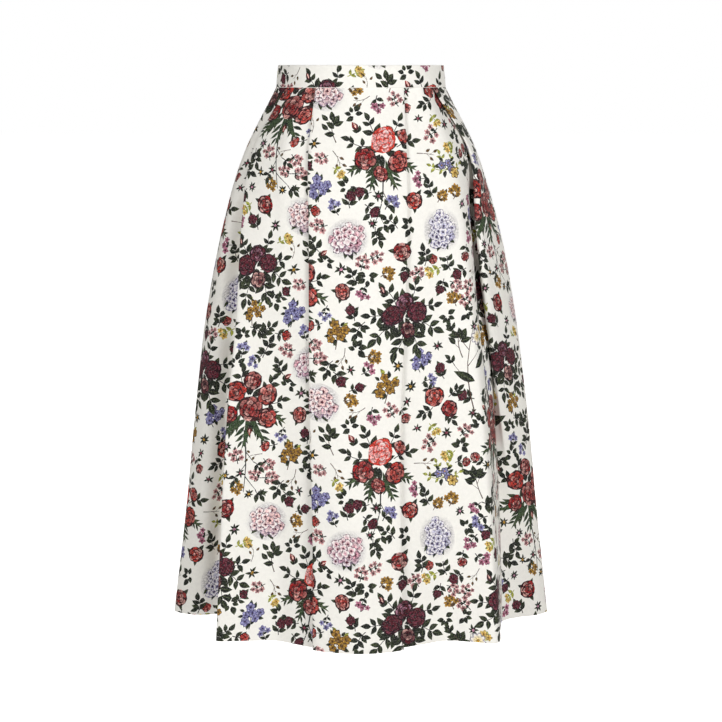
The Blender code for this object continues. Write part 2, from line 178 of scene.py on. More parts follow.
# The deep fold on the wearer's left: the front rolls in, and the side lobe's edge lies over it
LEFT = Chart(
    "corner_x corner_y under_x under_y seam_x seam_y tuck_x tuck_y"
    " brow_x brow_y cheek_x cheek_y tip_x tip_y",
    (0.0303, 0.0900, -0.0605, 0.0975, -0.0458, 0.1114, -0.0212,
     0.1000, -0.0478, 0.1015, -0.0492, 0.1147, -0.0255, 0.1193, 0.000),
    (0.1200, 0.1290, -0.0735, 0.1490, -0.0380, 0.1565, -0.0150,
     0.1525, -0.0398, 0.1545, -0.0412, 0.1618, -0.0220, 0.1643, 0.004),
    (0.2200, 0.1430, -0.0880, 0.1590, -0.0560, 0.1765, -0.0330,
     0.1640, -0.0625, 0.1650, -0.0670, 0.1845, -0.0360, 0.1950, 0.006),
    (0.3400, 0.1550, -0.1010, 0.1690, -0.0620, 0.1830, -0.0380,
     0.1755, -0.0565, 0.1780, -0.0630, 0.2060, -0.0300, 0.2200, 0.008),
    (0.4800, 0.1700, -0.1140, 0.1810, -0.0710, 0.1900, -0.0390,
     0.1945, -0.0450, 0.1975, -0.0490, 0.2240, -0.0220, 0.2405, 0.010),
    (0.6400, 0.1830, -0.1280, 0.1915, -0.0820, 0.1990, -0.0400,
     0.2100, -0.0370, 0.2190, -0.0330, 0.2420, -0.0130, 0.2570, 0.014),
    (0.7986, 0.1915, -0.1400, 0.1985, -0.0900, 0.2040, -0.0410,
     0.2170, -0.0280, 0.2330, -0.0180, 0.2590, -0.0065, 0.2752, 0.018),
)


def share(drop):
    """0 at the waist seam, 1 at the hem."""
    return (drop - BAND_HEIGHT) / (LENGTH - BAND_HEIGHT)


def inward(along):
    """The direction into the skirt from a plan curve that heads outwards from the centre front."""
    return np.array((-along[1], along[0]))


def behind(front_point, drop):
    """The place at the back of the skirt that mirrors a place at its front."""
    x, y = front_point
    return np.array((x, -y * (1 - BACK_FLATTENING * share(drop)) + BACK_SHIFT * share(drop)))


def rolled_edge(before, edge, roll, openness, side=1):
    """A folded edge: the cloth reaches it and rolls over by roll, or turns off as it opens."""
    along = unit(edge - before)
    across = side * inward(along)
    bulge = PRESSED_BULGE * roll * (1 - OPEN_EDGE_LOSS * openness)
    return [edge, edge + bulge * along + 0.5 * roll * across, edge + roll * across]


def curve_through(points):
    """A centripetal Catmull-Rom curve through the points, with SPAN_STEPS to each span."""
    points = [2 * points[0] - points[1], *points, 2 * points[-1] - points[-2]]
    t = np.linspace(0, 1, SPAN_STEPS + 1)[1:, None]
    found = [points[1][None]]
    for a, b, c, d in zip(points, points[1:], points[2:], points[3:]):
        k1, k2, k3 = (math.sqrt(np.linalg.norm(q - p)) for p, q in ((a, b), (b, c), (c, d)))
        leave = (b - a) / k1 - (c - a) / (k1 + k2) + (c - b) / k2
        reach = (c - b) / k2 - (d - b) / (k2 + k3) + (d - c) / k3
        found.append(hermite(b, c, leave, reach, k2, t))
    return np.concatenate(found)


def half_centre_front(side, drop):
    """The centre front outwards from the middle: its face, the pleat's edge, and the tuck."""
    depth = FRONT.at("centre_y", drop)
    reach = FRONT.at("pleat_x_r" if side < 0 else "pleat_x_l", drop)
    edge = np.array((reach, FRONT.at("pleat_y", drop)))
    face = np.array((CENTRE_FACE[0] * edge[0], depth + CENTRE_FACE[1] * (edge[1] - depth)))
    roll = LAYER + (PLEAT_ROLL_HEM - LAYER) * share(drop)
    rolled = rolled_edge(face, edge, roll, 0.0)
    along = unit(edge - face)
    opening = PLEAT_OPENING * share(drop)
    heading = -math.cos(opening) * along + math.sin(opening) * inward(along)
    tuck = PLEAT_TUCK_WAIST + (PLEAT_TUCK_HEM - PLEAT_TUCK_WAIST) * share(drop)
    return [np.array((0.0, depth)), face, *rolled, rolled[-1] + tuck * heading]


def side_front(side, drop):
    """A side front outwards from the pleat's seam, under the centre front, to the deep fold."""
    face, edge, _, rolled, seam = half_centre_front(side, drop)[1:]
    flank = FRONT.places("flank", drop)[0]
    start = seam + SEWN_LAYER * inward(unit(rolled - seam))
    rise = LAYER + (PLEAT_RISE_HEM - LAYER) * share(drop) ** PLEAT_RISE_POWER
    under_pleat = rolled + rise * inward(unit(edge - face))
    if side < 0:
        corner, last = RIGHT.places("corner seam", drop)
        ends = [*rolled_edge(flank, corner, RIGHT.at("roll", drop), share(drop)), last]
    else:
        ends = LEFT.places("corner under seam", drop)
    between = 0.5 * (flank + ends[0]) + np.array(FLANK_EASE) * (1 - share(drop))
    return [start, under_pleat, 0.5 * (under_pleat + flank), flank, between, *ends]


def side_right_half(drop):
    """The wearer's right side panel from the deep fold's seam to the tip of its lobe."""
    corner, seam, *lobe = RIGHT.places("corner seam under brow tip", drop)
    return [seam + SEWN_LAYER * inward(unit(corner - seam)), *lobe]


def side_left_half(drop):
    """The wearer's left side panel from the deep fold's seam to the tip of its lobe."""
    under, seam, tuck, brow, cheek, tip = LEFT.places("under seam tuck brow cheek tip", drop)
    bulge = PRESSED_BULGE * np.linalg.norm(tuck - brow) * (1 - share(drop)) ** 2
    middle = 0.5 * (tuck + brow) + bulge * unit(brow - cheek)
    start = seam - SEWN_LAYER * inward(unit(seam - under))
    return [start, tuck, middle, brow, cheek, tip]


def side_panel(side, drop):
    """A side panel from its front seam round the tip of its lobe to its back seam."""
    front = side_right_half(drop) if side < 0 else side_left_half(drop)
    back = [behind(place, drop) for place in side_right_half(drop)[:-1]]
    return [*front, *back[::-1]]


def back_arc(drop):
    """Half width and depth of the curve that the backs follow near the centre."""
    return RIGHT.at("tip_x", drop), behind((0.0, FRONT.at("centre_y", drop)), drop)[1]


def back_panel(_side, drop):
    """A back panel from the deep fold's seam, over the side panel, to the centre back."""
    corner, seam = (behind(place, drop) for place in RIGHT.places("corner seam", drop))
    half_width, depth = back_arc(drop)
    face = []
    for part in BACK_FACE:
        x = part * corner[0]
        face.append(np.array((x, depth * math.sqrt(1 - (x / half_width) ** 2))))
    roll = RIGHT.at("roll", drop) * (1 + share(drop))
    edge = rolled_edge(face[0], corner, roll, share(drop), side=-1)
    sewn = float(smooth((drop - ZIP_END) / SEWN_FROM_ZIP))
    opening = 0.5 * BACK_OPENING * (1 - sewn) + SEWN_GAP * sewn
    end = np.array((opening, depth - SEAM_SINK * sewn))
    return [seam, *edge[::-1], *face, np.array((BACK_LAST_FACE, depth)), end]


def centre_front(_side, drop):
    """The whole centre front, from the wearer's right to the left."""
    right = [place * (-1, 1) for place in half_centre_front(-1, drop)]
    return [*right[:0:-1], *half_centre_front(1, drop)]


# -------------------- the print: garden flowers in flat inks

# Flat places are complex numbers, and so are directions
TILE = 0.340 + 0.430j
PRINT_SEED = 23
SMALL_MOTIFS = 122
SMALL_TRIES = 200
SMALL_REACH = 0.0080
SMALL_SCALE = (1.05, 1.3)
GOLDEN_TURN = 2.39996
ROUND = 2 * math.pi
ANY_TURN = 6.28
MERGE = 5e-5
SAME_PLACE = 1e-7
LEAST_SHAPE = 4e-9

Ink = namedtuple("Ink", "outline centre reach inner outer")


def turned(angle):
    return np.exp(1j * angle)


def blade(base, tip, width, bend, steps):
    """The outline of a leaf or a narrow petal, base to tip and back."""
    t = np.linspace(0, 1, steps)
    axis = tip - base
    across = 1j * axis / abs(axis)
    spine = base + axis * t + across * bend * abs(axis) * 4 * t * (1 - t)
    half = 0.5 * width * np.sin(math.pi * t ** 0.8)
    return np.concatenate((spine - half * across, (spine + half * across)[-2:0:-1]))


def fan(centre, angle, spread, reach):
    """The outline of a broad petal round a flower's centre."""
    s = np.linspace(-1, 1, 6)
    radius = reach * (1 - 0.20 * np.abs(s) ** 3)
    return np.append(centre + radius * turned(angle + spread * s), centre)


def lobes(centre, radius, count, turn, depth, steps=3):
    """The outline of a small open flower with its petals run together."""
    k = np.arange(count * steps)
    size = radius * np.where(k % steps == 0, 1 - depth, 1.0)
    return centre + size * turned(turn + ROUND * k / (count * steps))


def ribbon(points, width, end=0.4):
    """The outline of a stem through points, tapering to a share of its width."""
    points = np.array(points)
    along = np.gradient(points)
    half = 0.5 * width * np.linspace(1, end, len(points)) * 1j * along / np.abs(along)
    return np.concatenate((points - half, (points + half)[::-1]))


def area_of(outline):
    x, y = outline.real, outline.imag
    return 0.5 * float(np.sum(x * np.roll(y, -1) - np.roll(x, -1) * y))


def tidied(outline):
    """An outline on a fine grid, without repeated places."""
    outline = MERGE * (np.round(outline.real / MERGE) + 1j * np.round(outline.imag / MERGE))
    return outline[outline != np.roll(outline, 1)]


def starts_of(parts):
    """Where each part starts when they are joined, and where the last one ends."""
    return np.cumsum([0] + [len(part) for part in parts])


def triangulate(flat, edges, faces):
    """Delaunay triangles over flat places, along edges and faces: places, triangles, owners."""
    pairs = [Vector((place.real, place.imag)) for place in flat]
    found, _, triangles, _, _, owners = delaunay_2d_cdt(pairs, edges, faces, 0, SAME_PLACE)
    return np.array([complex(*place) for place in found]), triangles, owners


def straight_places(places, beside):
    """The places that lie on a straight line between their only two neighbours."""
    straight = set()
    for place in sorted(beside):
        if len(beside[place]) == 2:
            a, b = beside[place]
            chord = places[b] - places[a]
            aside = ((places[place] - places[a]) * chord.conjugate()).imag
            if abs(aside) / (abs(chord) + 1e-9) < MERGE and b not in beside[a]:
                straight.add(place)
                beside[a] = beside[a] - {place} | {b}
                beside[b] = beside[b] - {place} | {a}
    return straight


def visible(inks, ground):
    """The same picture as shapes side by side, without the edges that later inks cover."""
    inks = [ink._replace(outline=tidied(ink.outline)) for ink in inks]
    outlines = [ink.outline for ink in inks]
    starts = starts_of(outlines)
    faces = [list(range(a, b)) for a, b in zip(starts, starts[1:])]
    places, triangles, owners = triangulate(np.concatenate(outlines), [], faces)
    places = places.tolist()
    tops = {}
    for triangle, owner in zip(triangles, owners):
        for a, b in zip(triangle, triangle[1:] + triangle[:1]):
            tops[a, b] = max(owner, default=-1)
    onward, beside = {}, {}
    for (a, b), top in tops.items():
        if tops.get((b, a), -1) != top:
            onward.setdefault((top, a), []).append(b)
            if (b, a) not in tops:
                onward.setdefault((-1, b), []).append(a)
            beside.setdefault(a, set()).add(b)
            beside.setdefault(b, set()).add(a)
    straight = straight_places(places, beside)
    found = []
    while onward:
        top, first = next(iter(onward))
        path, step = [first], None
        while step != first:
            choices = onward[top, path[-1]]
            before = places[path[-1]] - places[path[-2]] if len(path) > 1 else 1
            step = max(choices, key=lambda k: np.angle((places[k] - places[path[-1]]) / before))
            choices.remove(step)
            if not choices:
                del onward[top, path[-1]]
            if step != first:
                path.append(step)
        outline = np.array([places[k] for k in path if k not in straight])
        ink = Ink(outline, 0j, 1.0, ground, ground) if top < 0 else inks[top]
        most = 1.02 * area_of(ink.outline) + LEAST_SHAPE / 4
        if len(outline) > 2 and LEAST_SHAPE < area_of(outline) < most:
            found.append(ink._replace(outline=outline))
    return sorted(found, key=lambda ink: -area_of(ink.outline))


# The inks of each kind of rose: its shadows, its petals and their rims
ROSES = {
    "red": ("wine", "red", "pink"),
    "coral": ("wine", "coral", "pink"),
    "blush": ("coral", "blush", "white"),
    "dark": ("plum", "burgundy", "rosewood"),
    "dusky": ("plum", "burgundy", "mauve"),
    "soft": ("plum", "burgundy", "pink"),
}
# A rose's rings of petals: how many, how far out, and how wide
ROSE_RINGS = ((6, 1.0, 0.88), (5, 0.68, 0.86), (4, 0.40, 0.90))


class Motifs:
    """Draws flowers and leaves as flat inks, the later ones on top."""

    def __init__(self, palette, seed):
        self.palette = palette
        self.draw = np.random.default_rng(seed)
        self.inks = []

    def colour(self, name):
        return self.palette[name] if isinstance(name, str) else name

    def mixed(self, one, other, part):
        return (1 - part) * self.colour(one) + part * self.colour(other)

    def between(self, low, high):
        return low + (high - low) * self.draw.random()

    def ink(self, outline, inner, outer=None, centre=None, reach=1.0):
        """Adds a shape. Its colour goes from inner at its centre to outer at its reach."""
        inner = self.colour(inner)
        outer = inner if outer is None else self.colour(outer)
        centre = outline.mean() if centre is None else centre
        self.inks.append(Ink(outline, centre, reach, inner, outer))

    def blot(self, centre, radius, corners, wobble, colour):
        """A small uneven round shape."""
        rim = turned(ROUND * np.arange(corners) / corners)
        uneven = 1 + wobble * (self.draw.random(corners) - 0.5)
        self.ink(centre + radius * uneven * rim, colour)

    def leaf(self, base, angle, size, tone="leaf", fat=0.54, vein=False):
        tip = base + size * turned(angle)
        light = self.mixed(tone, "moss", self.between(0.1, 0.9))
        bend = self.between(-0.10, 0.10)
        self.ink(blade(base, tip, fat * size, bend, 6 if vein else 5), tone, light, base, size)
        if vein:
            t = np.array((0.10, 0.45, 0.80))
            spine = base + (tip - base) * (t + 1j * bend * 4 * t * (1 - t))
            self.ink(ribbon(spine, 0.07 * size), self.mixed("moss", tone, 0.25))

    def spray(self, root, angle, length, leaf, pairs, tone="leaf", fat=0.52, vein=False):
        """A stem with pairs of leaves and one at its tip."""
        bend = self.between(-0.3, 0.3)
        t = np.linspace(0, 1, 4)
        stem = root + length * turned(angle) * (t + 1j * bend * 2 * t * (1 - t))
        self.ink(ribbon(stem, 0.0011, 0.6), tone)
        for k in range(pairs):
            at = np.interp((k + 0.6) / (pairs + 0.2), t, stem)
            size = leaf * self.between(0.8, 1.1) * (1 - 0.22 * k / pairs)
            for side in (1, -1):
                self.leaf(at, angle + side * self.between(0.75, 1.2), size, tone, fat, vein)
        at = stem[-1] - 0.1 * leaf * turned(angle)
        self.leaf(at, angle + self.between(-0.2, 0.2), 0.95 * leaf, tone, fat, vein)

    def ruff(self, place, radius, leaf, count, start=0.0, turn=ROUND):
        """Leaves that show round a flower."""
        for k in range(count):
            angle = start + turn * (k + self.between(0.1, 0.7)) / count
            lean = angle + self.between(-0.3, 0.3)
            size = (0.3 * radius + leaf) * self.between(0.85, 1.15)
            self.leaf(place + 0.7 * radius * turned(angle), lean, size, fat=0.48)

    def foliage(self, place, angle, length):
        """A deeply cut leaf, as narrow blades from a rib."""
        for k in range(4):
            at = place + length * (0.15 + 0.20 * k) * turned(angle)
            size = length * (0.46 - 0.07 * k)
            for side in (1, -1):
                lean = angle + side * self.between(0.5, 0.75)
                self.leaf(at, lean, size, self.mixed("leaf", "fern", self.between(0, 0.8)), 0.30)
        self.leaf(place, angle, length, "fern", 0.16)

    def rose(self, place, radius, kind, rings=3):
        """A full rose: rings of petals with dark between them, closing towards its heart."""
        deep, body, rim = ROSES[kind]
        tilt = self.between(0, ROUND)
        heart = place + 0.16 * radius * turned(tilt)
        first = len(self.inks)
        table = ROSE_RINGS[3 - rings:]
        for ring, (count, reach, wide) in enumerate(table):
            reach = reach / table[0][1]
            centre = place + (1 - reach) * (heart - place)
            self.blot(centre, 1.06 * radius * reach, 2 * count, 0.16, deep)
            for k in range(count):
                angle = tilt + ROUND * (k + 0.5 * ring + self.between(-0.12, 0.12)) / count
                size = radius * reach * self.between(0.88, 1.04)
                light = self.mixed(body, rim, self.draw.choice((0.0, 0.12, 0.4, 0.9)))
                dark = self.mixed(deep, body, self.between(0.0, 0.6))
                petal = fan(centre, angle, wide * math.pi / count, size)
                self.ink(petal, dark, light, centre + 0.25 * size * turned(angle), 0.75 * size)
        self.blot(heart, 0.12 * radius, 5, 0.3, deep)
        squash, lean = self.between(0.78, 1.0), turned(self.between(0, math.pi))
        for k in range(first, len(self.inks)):
            local = (self.inks[k].outline - place) / lean
            outline = place + lean * (local.real + 1j * squash * local.imag)
            self.inks[k] = self.inks[k]._replace(outline=outline)

    def roses(self, *rows):
        """Roses by place, radius and kind, and by rings where there aren't three."""
        for row in rows:
            self.rose(*row)

    def bud(self, place, angle, size, kind="red"):
        deep, body, rim = ROSES[kind]
        for side in (1, -1):
            self.leaf(place - 0.25 * size * turned(angle), angle + 0.7 * side, 0.7 * size)
        tip = place + size * turned(angle)
        self.ink(blade(place, tip, 0.62 * size, 0.0, 6), deep, body, place, size)
        start, end = 0.2 * size * turned(angle), 0.92 * size * turned(angle - 0.1)
        self.ink(blade(place + start, place + end, 0.20 * size, 0.0, 4), rim)

    def blossom(self, place, radius, count, inner, outer, eye, lining=None):
        turn = self.between(0, ROUND)
        if lining is not None:
            self.ink(lobes(place, 1.16 * radius, count, turn, 0.2), lining)
        self.ink(lobes(place, radius, count, turn, 0.36), inner, outer, place, 0.85 * radius)
        self.blot(place, 0.24 * radius, 4, 0.2, eye)

    def mophead(self, radius, deep, body, light, count=21):
        """A round cluster of florets in a soft halo, lighter at one side."""
        lean = turned(self.between(0, math.pi))
        long, short = self.between(1.0, 1.15), self.between(0.72, 0.88)
        rim = turned(ROUND * np.arange(20) / 20)
        halo = 1.30 * radius * lean * (long * rim.real + 1j * short * rim.imag)
        self.ink(halo, self.mixed("ground", "halo", 0.8), "ground", 0j, 1.15 * radius)
        self.ruff(0j, 0.62 * radius, 0.42 * radius, 4, -2.5, 1.9)
        for k in range(count):
            reach = math.sqrt((count - k - 0.4) / count)
            spoke = 0.84 * radius * reach * turned(GOLDEN_TURN * k)
            centre = lean * (long * spoke.real + 1j * short * spoke.imag)
            size = radius * self.between(0.17, 0.26)
            side = 0.5 + 0.5 * centre.real / radius
            pale = self.draw.random() > side ** 1.5
            turn = self.between(0, 1.5)
            low = max(0.0, -centre.imag / radius)
            tint = self.mixed(body, "violet", 0.7 * low)
            shade = self.mixed(self.mixed(deep, "halo", 0.45), "violet", 0.6 * low)
            self.ink(lobes(centre, 1.20 * size, 4, turn, 0.15, 2), shade)
            edge = light if pale else self.mixed(tint, light, self.between(0.2, 0.7))
            self.ink(lobes(centre, size, 4, turn, 0.32), tint, edge, centre, 0.75 * size)
            if self.draw.random() < 0.8:
                eye = self.between(0.24, 0.40) * size
                self.blot(centre, eye, 4, 0.3, self.mixed(deep, "plum", 0.7))

    def heads(self, place, radius, inner, outer, eye, count, size=0.0056, lining="leaf"):
        """A loose head of small blossoms among short leaves."""
        for k in range(count + 2):
            angle = GOLDEN_TURN * k + self.between(-0.3, 0.3)
            lean = angle + self.between(-0.6, 0.6)
            self.leaf(place + 0.7 * radius * turned(angle), lean, self.between(0.007, 0.011))
        for k in range(count):
            spoke = radius * math.sqrt((k + 0.3) / count) * turned(GOLDEN_TURN * k + 0.8)
            head = size * self.between(0.8, 1.15)
            self.blossom(place + spoke, head, 5, inner, outer, eye, lining)

    def twig(self, root, angle, length, width, tone="wood"):
        """A forked stem; gives the tips of its forks."""
        bend = self.between(-0.25, 0.25)
        t = np.linspace(0, 1, 6)
        stem = root + length * turned(angle) * (t + 1j * bend * np.sin(math.pi * t) * 0.5)
        self.ink(ribbon(stem, width), tone)
        tips = []
        for part, side in ((0.35, 1), (0.55, -1), (0.75, 1)):
            at = np.interp(part, t, stem)
            lean = angle + side * 0.65
            reach = 0.26 * length * self.between(0.7, 1.1)
            fork = at + reach * turned(lean) * np.linspace(0, 1, 3)
            self.ink(ribbon(fork, 0.6 * width), tone)
            tips.append((fork[-1], lean))
        return tips

    def around(self, reach, angles, draw, *shape, **more):
        """Draws the same thing at each angle, a reach away from the middle."""
        for angle in angles:
            draw(reach * turned(angle), angle, *shape, **more)

    # The large motifs, each drawn about the place 0
    def red_bouquet(self):
        for at, angle in self.twig(-0.030j, -1.45, 0.075, 0.0020, "leaf"):
            self.spray(at, angle, 0.010, 0.011, 1)
        self.around(0.010, (3.5, 4.1, 4.7, 5.3, 5.9), self.foliage, 0.044)
        self.around(0.020, (2.6, 1.9, 0.9, 0.2), self.spray, 0.022, 0.013, 2)
        self.ruff(0.008j, 0.006, 0.014, 7)
        self.roses(
            (-0.019 + 0.016j, 0.0140, "coral"), (0.004 - 0.004j, 0.0150, "red"),
            (0.022 + 0.014j, 0.0125, "coral"), (-0.022 - 0.012j, 0.0110, "red"),
            (0.026 - 0.014j, 0.0120, "coral"), (0.001 + 0.030j, 0.0115, "red"),
        )
        for at, angle in ((0.006 - 0.026j, -1.4), (-0.040 + 0.030j, 2.5), (0.040 + 0.034j, 0.7)):
            self.bud(at, angle, 0.010)

    def blush_bouquet(self):
        for at, angle in self.twig(-0.024j, -1.75, 0.066, 0.0018, "leaf"):
            self.leaf(at, angle, 0.012)
        self.around(0.010, (3.7, 4.4, 5.1, 5.8), self.foliage, 0.040)
        self.around(0.018, (2.8, 2.0, 1.1, 0.3), self.spray, 0.024, 0.013, 2)
        self.ruff(0j, 0.006, 0.016, 7)
        self.roses(
            (-0.020 - 0.008j, 0.0130, "red"), (0.020 - 0.012j, 0.0135, "coral"),
            (0.001 + 0.014j, 0.0165, "blush"), (0.026 + 0.018j, 0.0095, "coral", 2),
            (-0.002 - 0.026j, 0.0100, "red", 2),
        )
        self.bud(-0.030 + 0.026j, 2.2, 0.012)

    def wine_bouquet(self):
        self.around(0.016, (0.3, 1.2, 2.2, 3.1), self.spray, 0.026, 0.014, 2)
        self.around(0.008, (3.8, 4.5, 5.2, 5.9), self.spray, 0.036, 0.017, 3, vein=True)
        self.ruff(0j, 0.020, 0.013, 8)
        self.ruff(0j, 0.003, 0.014, 6)
        self.roses(
            (-0.014 + 0.002j, 0.0135, "dark"), (0.001 + 0.018j, 0.0115, "dusky"),
            (0.018 + 0.006j, 0.0125, "dark"), (0.006 - 0.016j, 0.0110, "soft", 2),
        )
        self.bud(-0.024 + 0.028j, 2.1, 0.011, "soft")

    def pair_of_roses(self):
        self.around(0.012, (0.6, 2.3, 3.6, 5.3), self.spray, 0.016, 0.012, 2)
        self.roses((-0.009 + 0.008j, 0.0125, "coral"), (0.011 - 0.008j, 0.0105, "red", 2))

    def single_rose(self):
        self.ruff(0j, 0.009, 0.009, 3)
        self.rose(0j, 0.0118, self.draw.choice(("coral", "red")))

    def leafy_branch(self):
        angle = self.between(0.9, 2.2)
        for at, lean in self.twig(-0.018 * turned(angle), angle, 0.036, 0.0014):
            self.leaf(at, lean, 0.013, vein=True)
        for k in range(5):
            at = self.between(-0.006, 0.014) * turned(angle)
            self.leaf(at, angle + (k - 2) * 0.7, 0.015, vein=True)

    def gold_spray(self):
        for at, angle in self.twig(-0.018j, 1.5, 0.036, 0.0012):
            self.leaf(at, angle, 0.009, "chartreuse")
        self.heads(0.004j, 0.013, "umber", "gold", "umber", 6, 0.0054, "umber")

    def violet_spray(self):
        self.spray(-0.016j, 1.7, 0.022, 0.010, 2)
        self.heads(0.003j, 0.013, "violet", "lilac", "plum", 6, 0.0052, "violet")

    def meadow_spray(self):
        self.around(0, (1.2, 2.0, 0.3, 2.9), self.spray, 0.022, 0.008, 2, "chartreuse")
        self.heads(0.006j, 0.010, "violet", "lilac", "gold", 3)
        self.blossom(0.012 - 0.004j, 0.0065, 6, "gold", "butter", "umber", "umber")

    def daisy_branch(self):
        for at, angle in self.twig(-0.060j, 1.62, 0.115, 0.0018):
            self.spray(at, angle, 0.012, 0.012, 1)
        self.leaf(0j, 0.55, 0.042, "leaf", 0.36, True)
        self.leaf(-0.018j, 2.7, 0.034, "leaf", 0.36, True)
        self.blossom(0.004 + 0.044j, 0.0105, 8, "butter", "white", "gold", "halo")

    # The small motifs, also about the place 0
    def star(self):
        turn, count = self.between(0, ANY_TURN), 6 + self.draw.integers(0, 3)
        for k in range(count):
            self.leaf(0j, turn + ROUND * k / count, self.between(0.0055, 0.0085), fat=0.38)
        self.blot(0j, 0.0019, 5, 0.3, self.draw.choice(("rosewood", "mauve", "gold")))

    def sprig(self, inner, outer, eye, leaves="leaf", blossoms=3, size=0.0044):
        angle = self.between(0, ANY_TURN)
        self.spray(-0.010 * turned(angle), angle, 0.014, 0.0085, 2, leaves)
        for k in range(blossoms):
            lean = angle + (k - 0.5 * (blossoms - 1)) * 1.1
            at = self.between(0.004, 0.008) * turned(lean)
            self.blossom(at, size * self.between(0.8, 1.15), 5, inner, outer, eye)

    def leaf_sprig(self):
        angle = self.between(0, ANY_TURN)
        self.spray(-0.012 * turned(angle), angle, 0.018, 0.0125, 2, fat=0.56)
        self.leaf(-0.006 * turned(angle), angle + 1.9, 0.0105)

    def leaf_cluster(self):
        turn = self.between(0, ANY_TURN)
        for k in range(5):
            at = self.between(0.001, 0.004) * turned(turn + 1.1 * k)
            self.leaf(at, turn + 0.9 * k, self.between(0.007, 0.012), fat=0.66)

    def rose_sprig(self, back, leaf, radius, *kinds):
        angle = self.between(0, ANY_TURN)
        self.spray(-back * turned(angle), angle, 0.014, leaf, 2)
        kind = self.draw.choice(kinds) if len(kinds) > 1 else kinds[0]
        self.rose(0.004 * turned(angle), radius, kind, 2)

    def fine_twig(self):
        angle = self.between(0, ANY_TURN)
        for at, lean in self.twig(-0.010 * turned(angle), angle, 0.020, 0.0009):
            self.leaf(at, lean, 0.0060, "umber")


# Each large motif, its place in the tile, the reach that others keep from it, and its scale
LARGE_MOTIFS = (
    ("red_bouquet", 0.072 + 0.105j, 0.052, 1.18),
    ("wine_bouquet", 0.236 + 0.060j, 0.050, 1.14),
    ("blush_bouquet", 0.205 + 0.288j, 0.050, 1.16),
    ("wine_bouquet", 0.052 + 0.300j, 0.046, 1.06),
    ("pink_mophead", 0.156 + 0.168j, 0.028, 1.0),
    ("lilac_mophead", 0.290 + 0.178j, 0.028, 1.0),
    ("blush_mophead", 0.122 + 0.372j, 0.028, 1.0),
    ("pair_of_roses", 0.296 + 0.368j, 0.025, 1.1),
    ("gold_spray", 0.142 + 0.036j, 0.019, 1.1),
    ("violet_spray", 0.116 + 0.236j, 0.019, 1.1),
    ("daisy_branch", 0.004 + 0.200j, 0.028, 1.0),
    ("meadow_spray", 0.300 + 0.262j, 0.021, 1.1),
    ("gold_spray", 0.212 + 0.392j, 0.020, 1.15),
    ("single_rose", 0.232 + 0.150j, 0.015, 1.1),
    ("single_rose", 0.150 + 0.096j, 0.015, 1.0),
    ("single_rose", 0.060 + 0.388j, 0.015, 1.1),
    ("leafy_branch", 0.322 + 0.020j, 0.020, 1.1),
    ("leafy_branch", 0.138 + 0.318j, 0.019, 1.0),
    ("violet_spray", 0.264 + 0.428j, 0.018, 1.0),
    ("gold_spray", 0.058 + 0.236j, 0.018, 1.0),
    ("single_rose", 0.250 + 0.220j, 0.015, 1.0),
    ("leafy_branch", 0.010 + 0.036j, 0.020, 1.1),
)
# Motifs that share one way of drawing: its name and what differs
VARIANTS = {
    "pink_mophead": ("mophead", 0.0265, "rosewood", "rose", "white"),
    "lilac_mophead": ("mophead", 0.0265, "violet", "lilac", "white"),
    "blush_mophead": ("mophead", 0.0265, "rosewood", "blush", "white"),
    "mauve_sprig": ("sprig", "rosewood", "mauve", "plum"),
    "speckled_sprig": ("sprig", "burgundy", "blush", "plum", "leaf", 5, 0.0036),
    "violet_sprig": ("sprig", "violet", "lilac", "plum"),
    "gold_sprig": ("sprig", "umber", "gold", "umber", "umber", 4),
    "chartreuse_sprig": ("sprig", "gold", "butter", "umber", "chartreuse", 2),
    "red_sprig": ("rose_sprig", 0.011, 0.0100, 0.0062, "red", "coral"),
    "wine_sprig": ("rose_sprig", 0.010, 0.0110, 0.0060, "dark"),
}
SMALL_KINDS = (
    "star", "leaf_sprig", "speckled_sprig", "wine_sprig", "violet_sprig", "leaf_cluster",
    "gold_sprig", "star", "leaf_sprig", "speckled_sprig", "chartreuse_sprig", "mauve_sprig",
    "fine_twig", "red_sprig", "leaf_cluster", "star", "wine_sprig",
)


def half_drop(columns, rows, span):
    """The shifts of a half-drop repeat: every second column lies half a tile lower."""
    return [i * span.real + 1j * (j + 0.5 * (i % 2)) * span.imag for i in columns for j in rows]


def room_at(place, others):
    """How far a place of the tile is from others, over the edges of the repeat."""
    shifts = half_drop((-1, 0, 1), (-1, 0, 1), TILE)
    return np.min([np.abs(others + shift - place) for shift in shifts], axis=0)


def print_tile(palette):
    """The motifs of one tile of the print, each as shapes side by side."""
    motifs = Motifs(palette, PRINT_SEED)
    random = motifs.draw.random
    placed = [(place, reach, size, name) for name, place, reach, size in LARGE_MOTIFS]
    for k in range(SMALL_MOTIFS):
        tries = random(SMALL_TRIES) * TILE.real + 1j * random(SMALL_TRIES) * TILE.imag
        places = np.array([motif[0] for motif in placed])
        reaches = np.array([motif[1] for motif in placed])
        room = [float(np.min(room_at(place, places) - reaches)) for place in tries]
        name = SMALL_KINDS[k % len(SMALL_KINDS)]
        size = motifs.between(*SMALL_SCALE)
        placed.append((tries[int(np.argmax(room))], SMALL_REACH, size, name))
    tile = []
    for place, _, size, name in reversed(placed):
        motifs.inks = []
        way, *changes = VARIANTS.get(name, (name,))
        getattr(motifs, way)(*changes)
        inks = [moved(ink, size, place) for ink in motifs.inks]
        tile.append(visible(inks, palette["ground"]))
    return tile


def moved(ink, size, shift):
    """An ink at another size and place."""
    return ink._replace(
        outline=ink.outline * size + shift, centre=ink.centre * size + shift,
        reach=ink.reach * size,
    )


# -------------------- cloth: a worn surface and its flat cut

ROW_STEPS = 96
CUT_STEPS = 640
WAISTBAND_LEVELS = 9
WAISTBAND_STEPS = 360
WAISTBAND_START = 0.100 + 0.350j
# The waistband's facing swells over the pleats in it: how high, and how many places to each side
FACING_RISE = 0.018
FACING_SPREAD = 4
